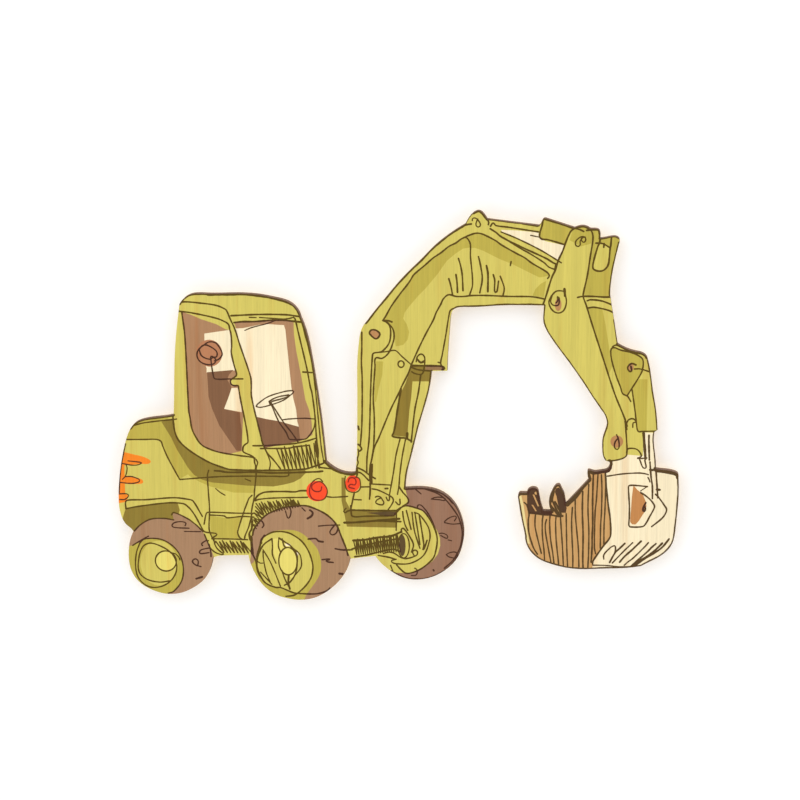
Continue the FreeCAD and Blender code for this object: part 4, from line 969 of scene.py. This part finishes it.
def flat_piece(name, points, triangles, finishes, lift):
    """A flat mesh just in front of the face, one material per triangle, riding the board."""
    used = sorted({i for triangle in triangles for i in triangle})
    place = {old: new for new, old in enumerate(used)}
    corners = [(points[i].x * MM, FACE - lift, points[i].y * MM) for i in used]
    mesh = bpy.data.meshes.new(name)
    mesh.from_pydata(corners, [], [[place[i] for i in triangle] for triangle in triangles])
    slots = sorted(set(finishes))
    for finish in slots:
        mesh.materials.append(MATERIALS[finish])
    mesh.polygons.foreach_set("material_index", [slots.index(f) for f in finishes])
    piece = bpy.data.objects.new(name, mesh)
    bpy.context.scene.collection.objects.link(piece)
    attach(piece, "plaque")
    return piece


def add_fields():
    """The whole face in colour. Where areas overlap, the last one painted is on top."""
    rings = [ring if doubled_area(ring) > 0 else ring[::-1] for _, ring in RINGS]
    points, kept = cut_to_board(rings)
    colours = ["green"] + [colour for colour, _ in RINGS]
    flat_piece("print_fields", points, [tri for tri, _ in kept],
               [colours[max(owners)] for _, owners in kept], FIELD_LIFT)


def add_ink(name, rings, lift):
    """The union of the rings, cut to the board, in the ink that suits what lies beneath."""
    points, kept = cut_to_board(rings)
    kept = [tri for tri, owners in kept if len(owners) > 1]
    inks = []
    for triangle in kept:
        middle = sum((points[i] for i in triangle), Vector((0, 0))) / 3
        inks.append(ink_under(colour_at(middle)))
    flat_piece(name, points, kept, inks, lift)


def streaks(tree, scale, span, detail=3):
    """Noise stretched by `scale` per metre: (from low, from high, to low, to high)."""
    place = tree.nodes.new("ShaderNodeTexCoord")
    stretch = tree.nodes.new("ShaderNodeMapping")
    stretch.inputs["Scale"].default_value = scale
    noise = tree.nodes.new("ShaderNodeTexNoise")
    noise.inputs["Scale"].default_value = 1.0
    noise.inputs["Detail"].default_value = detail
    ramp = tree.nodes.new("ShaderNodeMapRange")
    for name, value in zip(("From Min", "From Max", "To Min", "To Max"), span):
        ramp.inputs[name].default_value = value
    tree.links.new(place.outputs["Object"], stretch.inputs["Vector"])
    tree.links.new(stretch.outputs["Vector"], noise.inputs["Vector"])
    tree.links.new(noise.outputs["Fac"], ramp.inputs["Value"])
    return ramp.outputs["Result"]


def times(tree, a, b):
    node = tree.nodes.new("ShaderNodeMath")
    node.operation = "MULTIPLY"
    tree.links.new(a, node.inputs[0])
    tree.links.new(b, node.inputs[1])
    return node.outputs[0]


def tint(tree, colour, tone, shader, warm=None):
    """Base colour `colour`, browner where `warm` is high, lighter or darker by `tone`."""
    node = tree.nodes.new("ShaderNodeVectorMath")
    node.operation = "SCALE"
    node.inputs[0].default_value = colour[:3]
    if warm is not None:
        mix = tree.nodes.new("ShaderNodeMix")
        mix.data_type = "RGBA"
        mix.inputs["A"].default_value = colour
        mix.inputs["B"].default_value = (colour[0] * 0.93, colour[1] * 0.78, colour[2] * 0.66, 1)
        tree.links.new(warm, mix.inputs["Factor"])
        tree.links.new(mix.outputs["Result"], node.inputs[0])
    tree.links.new(tone, node.inputs["Scale"])
    tree.links.new(node.outputs["Vector"], shader.inputs["Base Color"])


def relief(tree, height, depth, shader):
    node = tree.nodes.new("ShaderNodeBump")
    node.inputs["Strength"].default_value = 0.35
    node.inputs["Distance"].default_value = depth
    tree.links.new(height, node.inputs["Height"])
    tree.links.new(node.outputs["Normal"], shader.inputs["Normal"])


def new_material(name, roughness, specular=0.5, metallic=0.0):
    made = bpy.data.materials.new(name)
    made.use_nodes = True
    shader = made.node_tree.nodes["Principled BSDF"]
    shader.inputs["Roughness"].default_value = roughness
    shader.inputs["Specular IOR Level"].default_value = specular
    shader.inputs["Metallic"].default_value = metallic
    return made, made.node_tree, shader


def wood(name, colour, roughness=0.62, strength=1.0):
    """Flat-cut birch grain running up the board, seen through a thin print or bare."""
    made, tree, shader = new_material(name, roughness, specular=0.2)
    fine = streaks(tree, (1300, 1300, 22), (0.3, 0.7, 1 - 0.07 * strength, 1 + 0.042 * strength))
    broad = streaks(tree, (190, 190, 6), (0.3, 0.7, 1 - 0.06 * strength, 1 + 0.04 * strength))
    pores = streaks(tree, (2600, 2600, 75), (0.56, 0.74, 1.0, 1 - 0.1 * strength), detail=1)
    warm = streaks(tree, (150, 150, 9), (0.56, 0.8, 0.0, 0.9 * strength))
    tint(tree, colour, times(tree, times(tree, fine, broad), pores), shader, warm)
    relief(tree, pores, 0.00003, shader)
    return made


def cut_edge(name, light):
    """Cut plywood edge, browned by the cutter, with faint cutter lines through the sheet."""
    made, tree, shader = new_material(name, 0.8, specular=0.15)
    lines = streaks(tree, (1300, 60, 1300), (0.3, 0.7, 0.72, 1.15))
    blotch = streaks(tree, (130, 400, 130), (0.35, 0.65, 0.86, 1.1))
    tint(tree, light, times(tree, lines, blotch), shader)
    relief(tree, lines, 0.00006, shader)
    return made


def metal(name, colour, roughness, scale):
    made, tree, shader = new_material(name, roughness, metallic=1.0)
    wear = streaks(tree, scale, (0.3, 0.7, 0.86, 1.04))
    tint(tree, colour, wear, shader)
    rough = streaks(tree, scale, (0.3, 0.7, roughness * 0.8, roughness * 1.35))
    tree.links.new(rough, shader.inputs["Roughness"])
    relief(tree, wear, 0.00002, shader)
    return made


def soft_clear(name):
    made, tree, shader = new_material(name, 0.3)
    tint(tree, srgb(232, 232, 226), streaks(tree, (500, 500, 500), (0.3, 0.7, 0.94, 1.02)), shader)
    shader.inputs["Transmission Weight"].default_value = 0.55
    shader.inputs["IOR"].default_value = 1.47
    relief(tree, streaks(tree, (900, 900, 900), (0.3, 0.7, 0.0, 1.0)), 0.00002, shader)
    return made


MATERIALS = {name: wood("print_" + name, colour) for name, colour in COLOURS.items()}
MATERIALS.update({name: wood(name, colour, 0.58, 0.8) for name, colour in INKS.items()})
FINISHES = (
    ("face_veneer", cut_edge("face_veneer_edge", srgb(124, 94, 76))),
    ("crossband", cut_edge("crossband_edge", srgb(115, 86, 70))),
    ("core", cut_edge("core_edge", srgb(131, 102, 83))),
    ("back_veneer", wood("back_birch", srgb(226, 200, 158), 0.7, 1.4)),
    ("strap", metal("nickel_strap", srgb(206, 202, 192), 0.3, (400, 2500, 400))),
    ("ring", metal("nickel_wire", srgb(212, 208, 198), 0.24, (600, 600, 600))),
    ("screw", metal("zinc_screw", srgb(198, 202, 208), 0.36, (1500, 900, 1500))),
    ("bumper", soft_clear("bumper_clear")),
)


def finish_nodes():
    """Each CAD piece gets the finish whose word is in its name."""
    for name, node in nodes.items():
        made = next(finish for word, finish in FINISHES if word in name)
        for place in node.material_slots:
            place.material = made
        if not node.material_slots:
            node.data.materials.append(made)


def stage_plane(name, corners, colour, one_sided):
    mesh = bpy.data.meshes.new(name)
    mesh.from_pydata(corners, [], [(0, 1, 2, 3)])
    made, tree, shader = new_material(name, 0.9, specular=0.1)
    tint(tree, colour, streaks(tree, (30, 30, 30), (0.3, 0.7, 0.995, 1.0)), shader)
    if one_sided:
        shader.inputs["Emission Color"].default_value = srgb(255, 255, 255)
        shader.inputs["Emission Strength"].default_value = WALL_GLOW
        show_front_only(tree, shader)
    mesh.materials.append(made)
    plane = bpy.data.objects.new(name, mesh)
    bpy.context.scene.collection.objects.link(plane)
    return plane


def show_front_only(tree, shader):
    """The plane is clear when looked at from behind."""
    side = tree.nodes.new("ShaderNodeNewGeometry")
    clear = tree.nodes.new("ShaderNodeBsdfTransparent")
    mix = tree.nodes.new("ShaderNodeMixShader")
    tree.links.new(side.outputs["Backfacing"], mix.inputs[0])
    tree.links.new(shader.outputs[0], mix.inputs[1])
    tree.links.new(clear.outputs[0], mix.inputs[2])
    tree.links.new(mix.outputs[0], tree.nodes["Material Output"].inputs["Surface"])


def add_stage():
    """Pale wall just behind the bumpers, and a pale floor well below the board."""
    wall = stage_plane("wall", ((-4, WALL_Y, FLOOR_Z), (4, WALL_Y, FLOOR_Z), (4, WALL_Y, 3),
                                (-4, WALL_Y, 3)), srgb(254, 254, 254), True)
    wall.visible_shadow = False
    wall.visible_diffuse = False
    wall.visible_glossy = False
    stage_plane("floor", ((-5, -5, FLOOR_Z), (5, -5, FLOOR_Z), (5, 5, FLOOR_Z),
                          (-5, 5, FLOOR_Z)), srgb(238, 236, 232), False)


def area_light(name, position, size, power):
    lamp = bpy.data.lights.new(name, "AREA")
    lamp.shape = "DISK"
    lamp.size = size
    lamp.energy = power
    holder = bpy.data.objects.new(name, lamp)
    holder.location = position
    aim = Vector(LIGHT_TARGET) - Vector(position)
    holder.rotation_euler = aim.to_track_quat("-Z", "Y").to_euler()
    bpy.context.scene.collection.objects.link(holder)


def add_light():
    world = bpy.data.worlds.new("studio")
    world.use_nodes = True
    world.node_tree.nodes["Background"].inputs["Color"].default_value = srgb(255, 255, 255)
    world.node_tree.nodes["Background"].inputs["Strength"].default_value = 1.0
    bpy.context.scene.world = world
    for light in LIGHTS:
        area_light(*light)


def add_camera():
    """Straight on but for 5 degrees to the right and 12 degrees above."""
    target = Vector(CAMERA_TARGET) * MM
    around = math.radians(CAMERA_AROUND)
    above = math.radians(CAMERA_ABOVE)
    lens = bpy.data.cameras.new("camera")
    lens.lens = 120
    lens.sensor_width = 36
    holder = bpy.data.objects.new("camera", lens)
    away = Vector((math.sin(around) * math.cos(above), -math.cos(around) * math.cos(above),
                   math.sin(above)))
    holder.location = target + CAMERA_DISTANCE * away
    holder.rotation_euler = (target - holder.location).to_track_quat("-Z", "Y").to_euler()
    bpy.context.scene.collection.objects.link(holder)
    bpy.context.scene.camera = holder


add_fields()
for order, region in enumerate(STROKES):
    add_ink("ink_" + region, region_rings(region), INK_LIFT + INK_STEP * order)
add_ink("ink_edge", edge_rings(), INK_LIFT + INK_STEP * len(STROKES))
finish_nodes()
add_stage()
add_light()
add_camera()
bpy.context.scene.view_settings.view_transform = "Standard"
